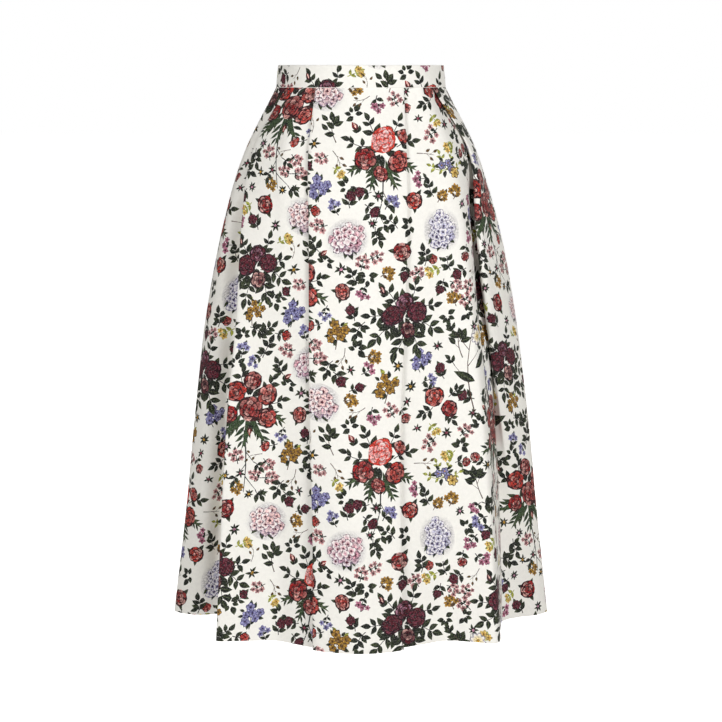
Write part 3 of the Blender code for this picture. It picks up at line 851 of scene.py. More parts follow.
# A mesh column at least at every such turn of the cloth, and fixed ones in the narrow folds
COLUMN_TURN = math.radians(14)
NARROW_COLUMN = 0.004
HEM_TURN_EDGE = 0.0015
RIM_BULGE = 0.30

# Each panel: its section, its side (-1 is the wearer's right), the share of its width where the
# grain runs straight down, and where the print starts on it
Panel = namedtuple("Panel", "section side grain start")
PANELS = {
    "front_centre": Panel(centre_front, 1, 0.50, 0.171 - 0.052j),
    "front_side_r": Panel(side_front, -1, 0.35, 0.052 + 0.130j),
    "front_side_l": Panel(side_front, 1, 0.0, 0.215 - 0.052j),
    "side_r": Panel(side_panel, -1, 0.50, 0.220 + 0.060j),
    "side_l": Panel(side_panel, 1, 0.50, 0.110 - 0.150j),
    "back_r": Panel(back_panel, -1, 0.30, 0.020 + 0.210j),
    "back_l": Panel(back_panel, 1, 0.70, 0.240 - 0.090j),
}

# Soft troughs (negative) and ridges of each panel: the share across and the drop of each end,
# the half width and the rise
CREASES = {
    "front_centre": (
        (0.50, 0.06, 0.47, 0.40, 0.020, -0.0012), (0.36, 0.42, 0.33, 0.79, 0.026, 0.0024),
        (0.62, 0.36, 0.66, 0.79, 0.026, -0.0022), (0.50, 0.50, 0.52, 0.79, 0.022, 0.0016),
    ),
    "front_side_r": (
        (0.52, 0.05, 0.48, 0.40, 0.014, -0.0018), (0.55, 0.40, 0.60, 0.79, 0.026, 0.0026),
        (0.42, 0.30, 0.36, 0.79, 0.024, -0.0022),
    ),
    "front_side_l": (
        (0.40, 0.05, 0.44, 0.40, 0.014, -0.0018), (0.40, 0.38, 0.36, 0.79, 0.026, 0.0024),
        (0.58, 0.34, 0.62, 0.79, 0.024, -0.0022), (0.86, 0.08, 0.88, 0.50, 0.014, -0.0060),
    ),
    "side_r": (
        (0.30, 0.10, 0.26, 0.60, 0.018, 0.0018), (0.55, 0.15, 0.58, 0.79, 0.024, -0.0024),
        (0.75, 0.06, 0.81, 0.19, 0.013, -0.0170), (0.83, 0.17, 0.88, 0.40, 0.013, -0.0200),
        (0.88, 0.32, 0.86, 0.82, 0.014, -0.0180),
    ),
    "side_l": (
        (0.42, 0.10, 0.44, 0.60, 0.018, -0.0018), (0.66, 0.15, 0.70, 0.79, 0.022, 0.0020),
        (0.18, 0.10, 0.14, 0.50, 0.012, 0.0030),
    ),
    "back_r": (
        (0.48, 0.05, 0.52, 0.45, 0.018, -0.0030), (0.55, 0.35, 0.60, 0.79, 0.030, 0.0055),
        (0.28, 0.30, 0.24, 0.79, 0.028, -0.0045),
    ),
    "back_l": (
        (0.52, 0.05, 0.48, 0.45, 0.018, -0.0030), (0.45, 0.35, 0.41, 0.79, 0.030, 0.0055),
        (0.72, 0.30, 0.77, 0.79, 0.028, -0.0045),
    ),
}
# How fast a crease fades at its ends. One that ends below the next drop runs out at the hem.
CREASE_FADES = (4, 2.5)
CREASE_TO_HEM = 0.78
CREASE_AT_HEM = 0.35
# No crease reaches a panel's edges
CREASE_FREE_EDGE = 0.030
# Small ripples under the waistband, unevenly spaced
PUCKER_PITCH = 0.013
PUCKER_DEPTH = 0.030
PUCKER_RISE = 0.00035
PUCKER_DRIFT = 1.3
PUCKER_DRIFT_TURN = 31
# Ink as a share, from how far a colour is from the ground
INK_CONTRAST = 2.2
INK_LEAST = 0.2
TINY = 1e-12


def between(table, row, place):
    """The values of a table between its rows and its places along them."""
    upper = np.clip(row.astype(int), 0, table.shape[0] - 2)
    left = np.clip(place.astype(int), 0, table.shape[1] - 2)
    a, b = row - upper, place - left
    if table.ndim == 3:
        a, b = a[:, None], b[:, None]
    return ((1 - a) * (1 - b) * table[upper, left] + (1 - a) * b * table[upper, left + 1]
            + a * (1 - b) * table[upper + 1, left] + a * b * table[upper + 1, left + 1])


class Cut:
    """A cloth piece: its middle surface as worn, and the flat place that each point was cut from.

    Flat places are in metres, to the right and upwards as the outside is seen.
    """

    def __init__(self, rings, grain, start=0):
        self.points = np.array(rings)
        self.grain = grain
        self.start = start
        self.measure()

    def measure(self):
        """Finds each point's flat place, with the grain line upright, and its outward normal."""
        steps = np.linalg.norm(np.diff(self.points, axis=1), axis=2)
        across = np.cumsum(np.pad(steps, ((0, 0), (1, 0))), axis=1)
        self.widths = across[:, -1]
        self.part = across / self.widths[:, None]
        self.across = across - self.grain * self.widths[:, None]
        line = np.array([
            [np.interp(0.0, row, ring[:, k]) for k in range(3)]
            for row, ring in zip(self.across, self.points)
        ])
        self.down = np.pad(np.cumsum(np.linalg.norm(np.diff(line, axis=0), axis=1)), (1, 0))
        places = np.arange(across.shape[1])
        even = np.linspace(0, 1, CUT_STEPS)
        self.place_at = np.array([np.interp(even, part, places) for part in self.part])
        down = np.gradient(self.points, axis=0)
        right = np.gradient(self.points, axis=1)
        self.normals = units(np.cross(down, right))

    def crease(self, creases, strength):
        """Presses soft troughs and ridges into the surface, and puckers along its top seam."""
        drops = self.down[:, None] + BAND_HEIGHT
        lift = np.zeros(self.part.shape)
        for part0, drop0, part1, drop1, half_width, rise in creases:
            t = (drops - drop0) / (drop1 - drop0)
            away = (self.part - part0 - (part1 - part0) * t) * self.widths[:, None]
            end = CREASE_FADES[1] * (1 - t) + CREASE_AT_HEM * (drop1 > CREASE_TO_HEM)
            fade = smooth(CREASE_FADES[0] * t) * smooth(end)
            lift += rise * fade * np.exp(-(away / half_width) ** 2)
        drift = PUCKER_DRIFT * np.sin(PUCKER_DRIFT_TURN * self.across)
        ripple = np.sin(ROUND * self.across / PUCKER_PITCH + drift)
        lift += PUCKER_RISE * ripple * (1 - smooth(self.down[:, None] / PUCKER_DEPTH))
        edge = np.minimum(self.part, 1 - self.part) * self.widths[:, None]
        lift *= strength * smooth(edge / CREASE_FREE_EDGE)
        self.points = self.points + lift[:, :, None] * self.normals
        self.measure()

    def flat(self, row, place):
        """The flat place of a row's place."""
        return self.across[row, place] - 1j * self.down[row]

    def lay(self, places):
        """Where flat places lie on the worn surface, and the outward normals there."""
        rows = np.arange(len(self.down))
        row = np.interp(-places.imag, self.down, rows)
        left, right = (np.interp(row, rows, self.across[:, k]) for k in (0, -1))
        even = np.clip((places.real - left) / (right - left), 0, 1) * (CUT_STEPS - 1)
        place = between(self.place_at, row, even)
        return between(self.points, row, place), units(between(self.normals, row, place))

    def spread_places(self, step, turn):
        """Places along the rows for a mesh: a step apart, and closer where the cloth turns."""
        right = np.diff(self.points, axis=1)
        lengths = np.linalg.norm(right, axis=2)
        along = units(right)
        bend = np.arccos(np.clip((along[:, 1:] * along[:, :-1]).sum(axis=2), -1, 1))
        bend = 0.5 * (np.pad(bend, ((0, 0), (1, 0))) + np.pad(bend, ((0, 0), (0, 1))))
        cost = np.concatenate(((0,), np.cumsum((lengths / step + bend / turn).max(axis=0))))
        marks = np.arange(math.ceil(cost[-1]) + 1) * cost[-1] / math.ceil(cost[-1])
        return np.unique(np.round(np.interp(marks, cost, np.arange(len(cost)))).astype(int))

    @property
    def size(self):
        """The flat cut's width and length, and its area."""
        area = float(np.trapz(self.widths, self.down))
        return (float(self.widths.max()), float(self.down[-1])), area


CUTS = {}


def panel_cut(name, strength):
    """The cut of one panel, made once."""
    if (name, strength) not in CUTS:
        panel = PANELS[name]
        top = BAND_HEIGHT + SEAM_GAP
        rings = []
        for drop in np.linspace(top, LENGTH, ROW_STEPS + 1):
            plan = curve_through(panel.section(panel.side, drop))
            if panel.side < 0:
                plan = (plan * (-1, 1))[::-1]
            dip = HEM_DIP * share(drop) ** 2 * (plan[:, 1] / FRONT_DEPTH) ** 2
            rings.append(np.column_stack((plan, 0.5 * BAND_HEIGHT - drop - dip)))
        cut = Cut(rings, panel.grain, panel.start)
        cut.crease(CREASES[name], strength)
        CUTS[name, strength] = cut
    return CUTS[name, strength]


def band_ellipse(level):
    """Half width and depth of the waistband, from 0 at its top to 1 at the seam."""
    return (WAIST_HALF_WIDTH + level * (SEAM_HALF_WIDTH - WAIST_HALF_WIDTH),
            WAIST_HALF_DEPTH + level * (SEAM_HALF_DEPTH - WAIST_HALF_DEPTH))


def waistband_cut():
    """The cut of the waistband, from the zip round the wearer's right, the front and the left."""
    rings = []
    for level in np.linspace(0, 1, WAISTBAND_LEVELS):
        half_width, half_depth = band_ellipse(level)
        start = math.asin(0.5 * BACK_OPENING / half_width)
        turn = np.linspace(start, 2 * math.pi - start, WAISTBAND_STEPS + 1)
        height = np.full(turn.shape, BAND_HEIGHT * (0.5 - level))
        plan = (-half_width * np.sin(turn), half_depth * np.cos(turn))
        rings.append(np.column_stack((*plan, height)))
    return Cut(rings, 0.5, WAISTBAND_START)


def pleats_behind(band, strength):
    """How far the panels' folded layers reach in behind the waistband, along its lower edge."""
    lower, inwards = band.points[-1], -band.normals[-1]
    reach = np.zeros(len(lower))
    for name in PANELS:
        ring = panel_cut(name, strength).points[0]
        nearest = np.linalg.norm(ring[:, None] - lower, axis=2).argmin(axis=1)
        depth = ((ring - lower[nearest]) * inwards[nearest])[:, :2].sum(axis=1)
        np.maximum.at(reach, nearest, depth)
    shifts = range(-FACING_SPREAD, FACING_SPREAD + 1)
    widest = np.max([np.roll(reach, shift) for shift in shifts], axis=0)
    wide = 2 * FACING_SPREAD - 1
    return np.convolve(widest, np.ones(wide) / wide, "same")


def inks_on(cut, tile, flower_size):
    """The print's inks that fall on a cut, moved to their flat places."""
    low = complex(cut.across[:, 0].min(), -cut.down[-1]) + cut.start
    high = complex(cut.across[:, -1].max(), 0.0) + cut.start
    span = TILE * flower_size
    columns = range(math.floor(low.real / span.real) - 1, math.ceil(high.real / span.real) + 1)
    rows = range(math.floor(low.imag / span.imag) - 2, math.ceil(high.imag / span.imag) + 1)
    found = []
    for inks in tile:
        outlines = [ink.outline for ink in inks]
        flat = np.concatenate(outlines) * flower_size
        for shift in half_drop(columns, rows, span):
            shift -= cut.start
            down = -(flat + shift).imag
            if down.max() < 0 or down.min() > cut.down[-1]:
                continue
            left, right = (np.interp(down, cut.down, cut.across[:, k]) for k in (0, -1))
            across = flat.real + shift.real
            inside = (across > left) & (across < right) & (down > 0) & (down < cut.down[-1])
            touching = np.logical_or.reduceat(inside, starts_of(outlines)[:-1])
            found += [moved(inks[k], flower_size, shift) for k in np.flatnonzero(touching)]
    return found


def divide(outline, points, edges, shapes):
    """Triangles inside a flat outline, through points, edges and shapes, and their top shapes."""
    places = [outline, points, *shapes]
    starts = starts_of(places)
    faces = [list(range(len(outline)))]
    faces += [list(range(a, b)) for a, b in zip(starts[2:], starts[3:])]
    fixed = (np.array(edges).reshape(-1, 2) + len(outline)).tolist()
    flat, triangles, owners = triangulate(np.concatenate(places), fixed, faces)
    kept = [k for k, owner in enumerate(owners) if owner and min(owner) == 0]
    used, corners = np.unique([triangles[k] for k in kept], return_inverse=True)
    return flat[used], corners.reshape(-1, 3), np.array([max(owners[k]) for k in kept])


def rim_of(corners):
    """The vertices round the edge of triangles, in order."""
    sides = np.concatenate((corners[:, :2], corners[:, 1:], corners[:, [2, 0]])).astype(np.int64)
    most = int(sides.max()) + 1
    single = ~np.isin(sides[:, 0] * most + sides[:, 1], sides[:, 1] * most + sides[:, 0])
    follow = dict(sides[single].tolist())
    first = place = min(follow)
    loop = []
    while not loop or place != first:
        loop.append(place)
        place = follow[place]
    return np.array(loop)


def mesh_plan(cut, settings):
    """A cut's flat outline, the places of its mesh inside it, and the edges kept in its folds."""
    rows = np.arange(len(cut.down))
    places = cut.spread_places(settings.mesh_step, COLUMN_TURN)
    outline = np.concatenate((
        cut.flat(rows[:-1], 0), cut.flat(rows[-1], places[:-1]),
        cut.flat(rows[:0:-1], places[-1]), cut.flat(0, places[:0:-1]),
    ))
    grid = cut.flat(rows[1:-1, None], places[None, 1:-1])
    number = np.arange(grid.size).reshape(grid.shape)
    close = np.diff(cut.across[-1, places[1:-1]]) < NARROW_COLUMN
    folds = np.flatnonzero(np.append(close, False) | np.insert(close, 0, False))
    edges = np.column_stack((number[:-1, folds].ravel(), number[1:, folds].ravel()))
    return outline, grid, edges


def tailor(name, cut, inks, ground, wall, materials, settings, hem=False, swell=None):
    """A cloth piece with its print as inlaid shapes, a plain wrong side and rounded edges."""
    outline, grid, edges = mesh_plan(cut, settings)
    front, triangles, tops = divide(outline, grid.ravel(), edges, [ink.outline for ink in inks])
    loop = rim_of(triangles)
    back, back_triangles, _ = divide(front[loop], grid[::2].ravel(), (), ())
    back_loop = rim_of(back_triangles)
    if len(back_loop) != len(loop):
        raise RuntimeError(f"{name}: the two sides of the cloth don't share one edge")
    back_loop = np.roll(back_loop, -int(np.argmin(np.abs(back[back_loop] - front[loop[0]]))))

    points, normals = cut.lay(front)
    back_points, back_normals = cut.lay(back)
    thick = np.full(len(back), 0.5 * wall)
    rise = cut.down[-1] + back.imag
    if hem:
        thick += settings.hem_turn * (1 - smooth((rise - settings.hem_depth) / HEM_TURN_EDGE))
    if swell is not None:
        thick += np.interp(back.real, cut.across[-1], swell) * (1 - smooth(rise / FACING_RISE))
    along = np.roll(points[loop], -1, axis=0) - np.roll(points[loop], 1, axis=0)
    aside = units(np.cross(along, normals[loop]), TINY)
    vertices = np.concatenate((
        points + 0.5 * wall * normals,
        points[loop] + RIM_BULGE * wall * aside,
        back_points - thick[:, None] * back_normals,
    ))
    facing = np.concatenate((normals, aside, -back_normals))
    flat = np.concatenate((front, front[loop], back))

    # The rim joins the two sides' edges over a row of vertices between them
    rim = len(front) + np.arange(len(loop))
    behind_rim = len(front) + len(loop)
    inner = behind_rim + back_loop
    next_loop, next_rim, next_inner = (np.roll(part, -1) for part in (loop, rim, inner))
    faces = np.concatenate((
        triangles,
        np.column_stack((next_loop, loop, rim)), np.column_stack((next_loop, rim, next_rim)),
        np.column_stack((next_rim, rim, inner)), np.column_stack((next_rim, inner, next_inner)),
        (back_triangles + behind_rim)[:, ::-1],
    ))
    slots = np.zeros(len(faces), int)
    slots[len(faces) - len(back_triangles):] = 1
    colours = np.ones((len(faces), 3, 4))
    colours[:, :, :3] = ground
    colours[:len(triangles), :, :3] = inked(front[triangles], tops, inks, ground)
    # The alpha is how much ink lies on the ground
    contrast = np.linalg.norm(colours[:, :, :3] - ground, axis=2)
    colours[:, :, 3] = np.clip(INK_CONTRAST * contrast - INK_LEAST, 0, 1)

    mesh = bpy.data.meshes.new(name)
    mesh.vertices.add(len(vertices))
    mesh.vertices.foreach_set("co", vertices.ravel())
    mesh.loops.add(faces.size)
    mesh.loops.foreach_set("vertex_index", faces.ravel())
    mesh.polygons.add(len(faces))
    mesh.polygons.foreach_set("loop_start", np.arange(len(faces)) * 3)
    mesh.polygons.foreach_set("material_index", slots)
    mesh.update(calc_edges=True)
    paint = mesh.color_attributes.new("print", "FLOAT_COLOR", "CORNER")
    paint.data.foreach_set("color", colours.ravel())
    for layer, values in (("OFBake", bake_places(flat, front[loop], len(front))), ("cloth", flat)):
        pairs = np.column_stack((values.real, values.imag))[faces.ravel()]
        mesh.uv_layers.new(name=layer).data.foreach_set("uv", pairs.ravel())
    mesh.normals_split_custom_set(facing[faces.ravel()])
    for material in materials:
        mesh.materials.append(material)
    return linked(name, mesh)


def inked(corners, tops, inks, ground):
    """The colours of flat corners under their top inks, from each ink's centre to its reach."""
    inner = np.array([ground] + [ink.inner for ink in inks])
    outer = np.array([ground] + [ink.outer for ink in inks])
    centres = np.array([0j] + [ink.centre for ink in inks])
    reaches = np.array([1.0] + [ink.reach for ink in inks])
    away = np.abs(corners - centres[tops][:, None]) / reaches[tops][:, None]
    share_out = np.clip(away, 0, 1)[:, :, None] ** 2
    return inner[tops][:, None] + share_out * (outer - inner)[tops][:, None]


def linked(name, data):
    """A new object in the scene."""
    thing = bpy.data.objects.new(name, data)
    bpy.context.scene.collection.objects.link(thing)
    return thing


# Shares of the bake's square
BAKE_MARGIN = 0.012
BAKE_FRONT = 0.690
BAKE_BACK_START = 0.735
BAKE_RIM = 0.005


def bake_places(flat, loop, count):
    """Bake places: a wide island for the printed side and its rim, and the wrong side beside it."""
    low = complex(flat.real.min(), flat.imag.min())
    size = complex(flat.real.max(), flat.imag.max()) - low
    x, y = (flat.real - low.real) / size.real, (flat.imag - low.imag) / size.imag
    tall = size.imag > size.real
    along, other = (x, y) if tall else (y, x)
    behind_rim = count + len(loop)
    first = BAKE_MARGIN + BAKE_FRONT * along
    first[behind_rim:] = BAKE_BACK_START + (1 - BAKE_MARGIN - BAKE_BACK_START) * along[behind_rim:]
    other = BAKE_MARGIN + (1 - 2 * BAKE_MARGIN) * other
    onward = np.roll(loop, -1) - np.roll(loop, 1)
    aside = -1j * onward / (np.abs(onward) + TINY)
    out_along, out_other = (aside.real, aside.imag) if tall else (aside.imag, aside.real)
    first[count:behind_rim] += BAKE_RIM * out_along
    other[count:behind_rim] += BAKE_RIM * out_other
    return first + 1j * other if tall else other + 1j * first


# -------------------- materials


def linear(*levels):
    """A colour of 0 to 255 display values, as Blender's linear ones."""
    return tuple(
        value / 12.92 if value <= 0.04045 else ((value + 0.055) / 1.055) ** 2.4
        for value in (level / 255 for level in levels)
    )


def dimmed(colour, *factors):
    """A colour with its three parts multiplied, by one factor or by three."""
    factors = factors * (3 // len(factors))
    return tuple(factor * value for factor, value in zip(factors, colour))


class Tree:
    """A node tree and short ways to add nodes to it."""

    def __init__(self, tree):
        self.tree = tree

    def add(self, kind, inputs=(), **settings):
        """Adds a node. An input is a value, or another node's output to link to."""
        node = self.tree.nodes.new(kind)
        for key, value in settings.items():
            setattr(node, key, value)
        for key, value in dict(inputs).items():
            self.feed(node.inputs[key], value)
        return node

    def feed(self, socket, value):
        if isinstance(value, bpy.types.NodeSocket):
            self.tree.links.new(value, socket)
        else:
            socket.default_value = value

    def out(self, kind, inputs=(), **settings):
        """Adds a node and gives its first output."""
        return self.add(kind, inputs, **settings).outputs[0]

    def math(self, operation, one, other):
        return self.out("ShaderNodeMath", {0: one, 1: other}, operation=operation)


class Shader(Tree):
    """A new material."""

    def __init__(self, name):
        self.material = bpy.data.materials.new(name)
        self.material.use_nodes = True
        super().__init__(self.material.node_tree)
        self.surface = self.tree.nodes["Principled BSDF"]

    def cloth(self):
        """Places in the flat cut."""
        return self.out("ShaderNodeUVMap", uv_map="cloth")

    def object(self):
        """Places in the object's own space."""
        return self.add("ShaderNodeTexCoord").outputs["Object"]

    def stretched(self, place, scale):
        return self.out("ShaderNodeMapping", {"Vector": place, "Scale": scale})

    def noise(self, place, scale, detail=2.0, rough=0.5):
        inputs = {"Vector": place, "Scale": scale, "Detail": detail, "Roughness": rough}
        return self.add("ShaderNodeTexNoise", inputs).outputs["Fac"]

    def span(self, value, low, high, start=0.0, end=1.0):
        inputs = {"Value": value, "From Min": start, "From Max": end, "To Min": low, "To Max": high}
        return self.add("ShaderNodeMapRange", inputs).outputs["Result"]

    def mix(self, factor, one, other):
        inputs = {"Factor": factor, "A": one, "B": other}
        return self.add("ShaderNodeMix", inputs).outputs["Result"]

    def blend(self, factor, one, other):
        """Mixes two colours."""
        one, other = ((*c, 1) if isinstance(c, tuple) else c for c in (one, other))
        inputs = {"Factor": factor, 6: one, 7: other}
        return self.add("ShaderNodeMix", inputs, data_type="RGBA").outputs[2]

    def scaled(self, colour, tone):
        return self.out("ShaderNodeVectorMath", {0: colour, "Scale": tone}, operation="SCALE")

    def bump(self, height, strength, distance):
        inputs = {"Height": height, "Strength": strength, "Distance": distance}
        return self.out("ShaderNodeBump", inputs)

    def finish(self, **values):
        """Sets the surface's inputs and gives the material."""
        for key, value in values.items():
            self.feed(self.surface.inputs[key.replace("_", " ")], value)
        return self.material


def weave(shader, place, thread):
    """The height of a plain weave, from 0 to 1, with a thread's pitch in metres."""
    inputs = {
        "Vector": place, "Scale": math.pi / 10 / thread, "Distortion": 0.3, "Detail Scale": 0.5,
    }
    waves = [
        shader.add("ShaderNodeTexWave", inputs, bands_direction=direction).outputs["Fac"]
        for direction in ("X", "Y")
    ]
    over = shader.add("ShaderNodeTexChecker", {"Vector": place, "Scale": 1 / thread})
    return shader.mix(over.outputs["Fac"], *waves)


def woven(shader, place, settings, colour, relief=0.10):
    """Finishes a woven cloth: threads with painted shade where the weave lies low, slubs, a faint
    unevenness of its dye, and a soft sheen.
    """
    height = weave(shader, place, settings.thread)
    slub = shader.noise(shader.stretched(place, (900, 140, 1)), 1.0, 1.0)
    dye = shader.noise(place, 190.0, 3.0, 0.6)
    # Painted shade: the weave's low places are darkened and its raised threads lightened; the slubs
    # and the dye vary the tone too
    threads = (shader.span(height, 0.965, 1.02), shader.span(slub, 0.975, 1.025))
    tone = shader.math("MULTIPLY", *threads)
    tone = shader.math("MULTIPLY", tone, shader.span(dye, 0.93, 1.07))
    shaded = shader.scaled(colour, tone)
    rough = shader.math("ADD", height, shader.math("MULTIPLY", slub, 0.7))
    relief = shader.bump(rough, relief, 0.0004)
    return shader.finish(
        Base_Color=shaded, Roughness=shader.span(slub, 0.70, 0.86), Normal=relief,
        Sheen_Weight=settings.sheen, Sheen_Roughness=0.45, Specular_IOR_Level=0.20,
    )


def printed_cloth(settings, ground):
    """Drawn lights and darks in the inks, which also leave specks of the cloth bare."""
    shader = Shader("printed cloth")
    place = shader.cloth()
    paint = shader.add("ShaderNodeVertexColor", layer_name="print").outputs
    line = shader.span(shader.noise(place, 430.0), 0.30, 1.35, 0.38, 0.62)
    wash = shader.span(shader.noise(place, 150.0), 0.65, 1.25, 0.32, 0.68)
    drawn = shader.math("MULTIPLY", line, wash)
    amount = shader.math("MULTIPLY", paint["Alpha"], settings.engraving)
    drawing = shader.scaled(paint["Color"], shader.mix(amount, 1.0, drawn))
    bare = shader.span(shader.noise(place, 560.0, 1.0), 0.0, 0.09, 0.50, 0.68)
    worn = shader.blend(shader.math("MULTIPLY", amount, bare), drawing, ground)
    return woven(shader, place, settings, worn)


def wrong_side(settings, ground):
    shader = Shader("wrong side of the cloth")
    place = shader.cloth()
    warm = dimmed(ground, 0.93, 0.92, 0.90)
    colour = shader.blend(shader.noise(place, 14.0), ground, warm)
    return woven(shader, place, settings, colour, 0.14)


def thread_material(colour):
    shader = Shader("sewing thread")
    inputs = {"Vector": shader.object(), "Scale": 420.0, "Distortion": 1.5}
    ply = shader.add("ShaderNodeTexWave", inputs, bands_direction="DIAGONAL").outputs["Fac"]
    # Painted shade: the grooves between the plies, where the bump sinks, are darkened in the colour
    tint = shader.blend(ply, dimmed(colour, 0.84), colour)
    relief = shader.bump(ply, 0.4, 0.0001)
    return shader.finish(Base_Color=tint, Roughness=0.55, Normal=relief, Sheen_Weight=0.2)


def tape_material(colour, settings):
    shader = Shader("zip tape")
    place = shader.cloth()
    tint = shader.blend(shader.noise(place, 60.0), colour, dimmed(colour, 0.93))
    return woven(shader, place, settings, tint, 0.30)


def coil_material(colour):
    shader = Shader("zip coil")
    cloud = shader.noise(shader.object(), 900.0)
    tint = shader.blend(cloud, colour, dimmed(colour, 0.88))
    rough = shader.span(cloud, 0.30, 0.45)
    return shader.finish(Base_Color=tint, Roughness=rough, Specular_IOR_Level=0.5)


def metal_material(colour):
    shader = Shader("zip metal")
    place = shader.object()
    grain = shader.noise(shader.stretched(place, (2600, 2600, 220)), 1.0, 3.0)
    wear = shader.noise(place, 340.0, 3.0)
    tint = shader.blend(wear, colour, dimmed(colour, 0.80))
    spans = (shader.span(grain, 0.18, 0.36), shader.span(wear, -0.04, 0.08))
    rough = shader.math("ADD", *spans)
    relief = shader.bump(grain, 0.12, 0.00005)
    return shader.finish(Base_Color=tint, Metallic=1.0, Roughness=rough, Normal=relief)


def floor_material(colour):
    """A floor that looks white, and lights the skirt no more than a paper roll does."""
    shader = Shader("studio floor")
    cloud = shader.noise(shader.object(), 1.5)
    tint = shader.blend(cloud, colour, dimmed(colour, 0.985))
    seen = shader.add("ShaderNodeLightPath").outputs["Is Camera Ray"]
    return shader.finish(
        Base_Color=tint, Roughness=0.9, Specular_IOR_Level=0.1,
        Emission_Color=(1, 1, 1, 1), Emission_Strength=shader.math("MULTIPLY", seen, 0.95),
    )


# -------------------- rows of stitches and teeth


class RowNodes(Tree):
    """A new geometry node tree that sets one small shape along a path, with named inputs."""

    def __init__(self, name, material, **lengths):
        super().__init__(bpy.data.node_groups.new(name, "GeometryNodeTree"))
        self.socket("Path", "Geometry")
        for label, value in lengths.items():
            self.socket(label.replace("_", " "), "Float").default_value = value
        self.socket(material, "Material")
        self.socket("Geometry", "Geometry", "OUTPUT")
        self.given = self.tree.nodes.new("NodeGroupInput").outputs
        self.made = self.tree.nodes.new("NodeGroupOutput").inputs
        self.material = material
        curve = self.out("GeometryNodeMeshToCurve", {"Mesh": self.given["Path"]})
        inputs = {"Curve": curve, "Length": self.given["Pitch"]}
        self.points = self.out("GeometryNodeResampleCurve", inputs, mode="LENGTH")
        tangent = self.out("GeometryNodeInputTangent")
        inputs = {"Vector": tangent}
        self.turn = self.out("FunctionNodeAlignRotationToVector", inputs, axis="X")

    def socket(self, label, kind, in_out="INPUT"):
        kind = "NodeSocket" + kind
        return self.tree.interface.new_socket(label, in_out=in_out, socket_type=kind)

    def ring(self, corners, radius):
        inputs = {"Resolution": corners, "Radius": self.given[radius]}
        return self.out("GeometryNodeCurvePrimitiveCircle", inputs)

    def vector(self, **parts):
        return self.out("ShaderNodeCombineXYZ", parts)

    def end(self, points, shape):
        """Sets the shape on the points, as real geometry in its material."""
        inputs = {"Points": points, "Instance": shape, "Rotation": self.turn}
        placed = self.out("GeometryNodeInstanceOnPoints", inputs)
        real = self.out("GeometryNodeRealizeInstances", {"Geometry": placed})
        inputs = {"Geometry": real, "Material": self.given[self.material]}
        dressed = self.out("GeometryNodeSetMaterial", inputs)
        self.tree.links.new(dressed, self.made["Geometry"])
        return self.tree


def stitch_tree():
    """Straight stitches of round thread along a path."""
    nodes = RowNodes(
        "stitch row", "Thread", Stitch_Length=0.0024, Pitch=0.0030, Thread_Radius=0.00017, Lean=0.0
    )
    half = nodes.math("MULTIPLY", nodes.given["Stitch Length"], 0.5)
    back = nodes.math("MULTIPLY", half, -1.0)
    lean = nodes.math("MULTIPLY", half, nodes.given["Lean"])
    unlean = nodes.math("MULTIPLY", lean, -1.0)
    ends = {"Start": nodes.vector(X=back, Y=unlean), "End": nodes.vector(X=half, Y=lean)}
    line = nodes.out("GeometryNodeCurvePrimitiveLine", ends)
    ring = nodes.ring(6, "Thread Radius")
    inputs = {"Curve": line, "Profile Curve": ring, "Fill Caps": True}
    return nodes.end(nodes.points, nodes.out("GeometryNodeCurveToMesh", inputs))


def coil_tree():
    """Loops of a zip's coil along a path, each set a little to the side of the one before."""
    nodes = RowNodes(
        "zip coil", "Coil", Pitch=0.0008, Loop_Radius=0.00085, Wire_Radius=0.00024, Side_Step=0.0002
    )
    odd = nodes.math("MODULO", nodes.out("GeometryNodeInputIndex"), 2.0)
    side = nodes.math("SUBTRACT", odd, 0.5)
    step = nodes.vector(X=nodes.math("MULTIPLY", side, nodes.given["Side Step"]))
    moved = nodes.out("GeometryNodeSetPosition", {"Geometry": nodes.points, "Offset": step})
    inputs = {"Geometry": nodes.ring(12, "Loop Radius"), "Rotation": (0.0, math.pi / 2, 0.0)}
    upright = nodes.out("GeometryNodeTransform", inputs)
    inputs = {"Curve": upright, "Profile Curve": nodes.ring(5, "Wire Radius")}
    return nodes.end(moved, nodes.out("GeometryNodeCurveToMesh", inputs))


def along_paths(name, paths, tree, values):
    """Runs a node tree over paths of points and leaves its result as one plain mesh."""
    guide = bpy.data.meshes.new(name + " path")
    points = np.concatenate(paths)
    ends = starts_of(paths)
    edges = [(k, k + 1) for k in range(len(points) - 1) if k + 1 not in ends]
    guide.from_pydata(points.tolist(), edges, [])
    carrier = linked(name + " path", guide)
    modifier = carrier.modifiers.new("row", "NODES")
    modifier.node_group = tree
    for item in tree.interface.items_tree:
        if item.in_out == "INPUT" and item.name in values:
            modifier[item.identifier] = values[item.name]
    graph = bpy.context.evaluated_depsgraph_get()
    mesh = bpy.data.meshes.new_from_object(carrier.evaluated_get(graph), depsgraph=graph)
    bpy.data.objects.remove(carrier, do_unlink=True)
    if not mesh.polygons:
        raise RuntimeError(f"{name}: its nodes made no faces")
    mesh.name = name
    return linked(name, mesh)


# -------------------- what a user would change


def length(name, description, default, top):
    return FloatProperty(
        name=name, description=description, default=default, min=0.0, max=top,
        unit="LENGTH", subtype="DISTANCE", precision=5,
    )


def number(name, description, default, **more):
    return FloatProperty(name=name, description=description, default=default, **more)


def colour(name, description, *levels):
    return FloatVectorProperty(
        name=name, description=description, default=linear(*levels), min=0.0, max=1.0, size=3,
        subtype="COLOR",
    )


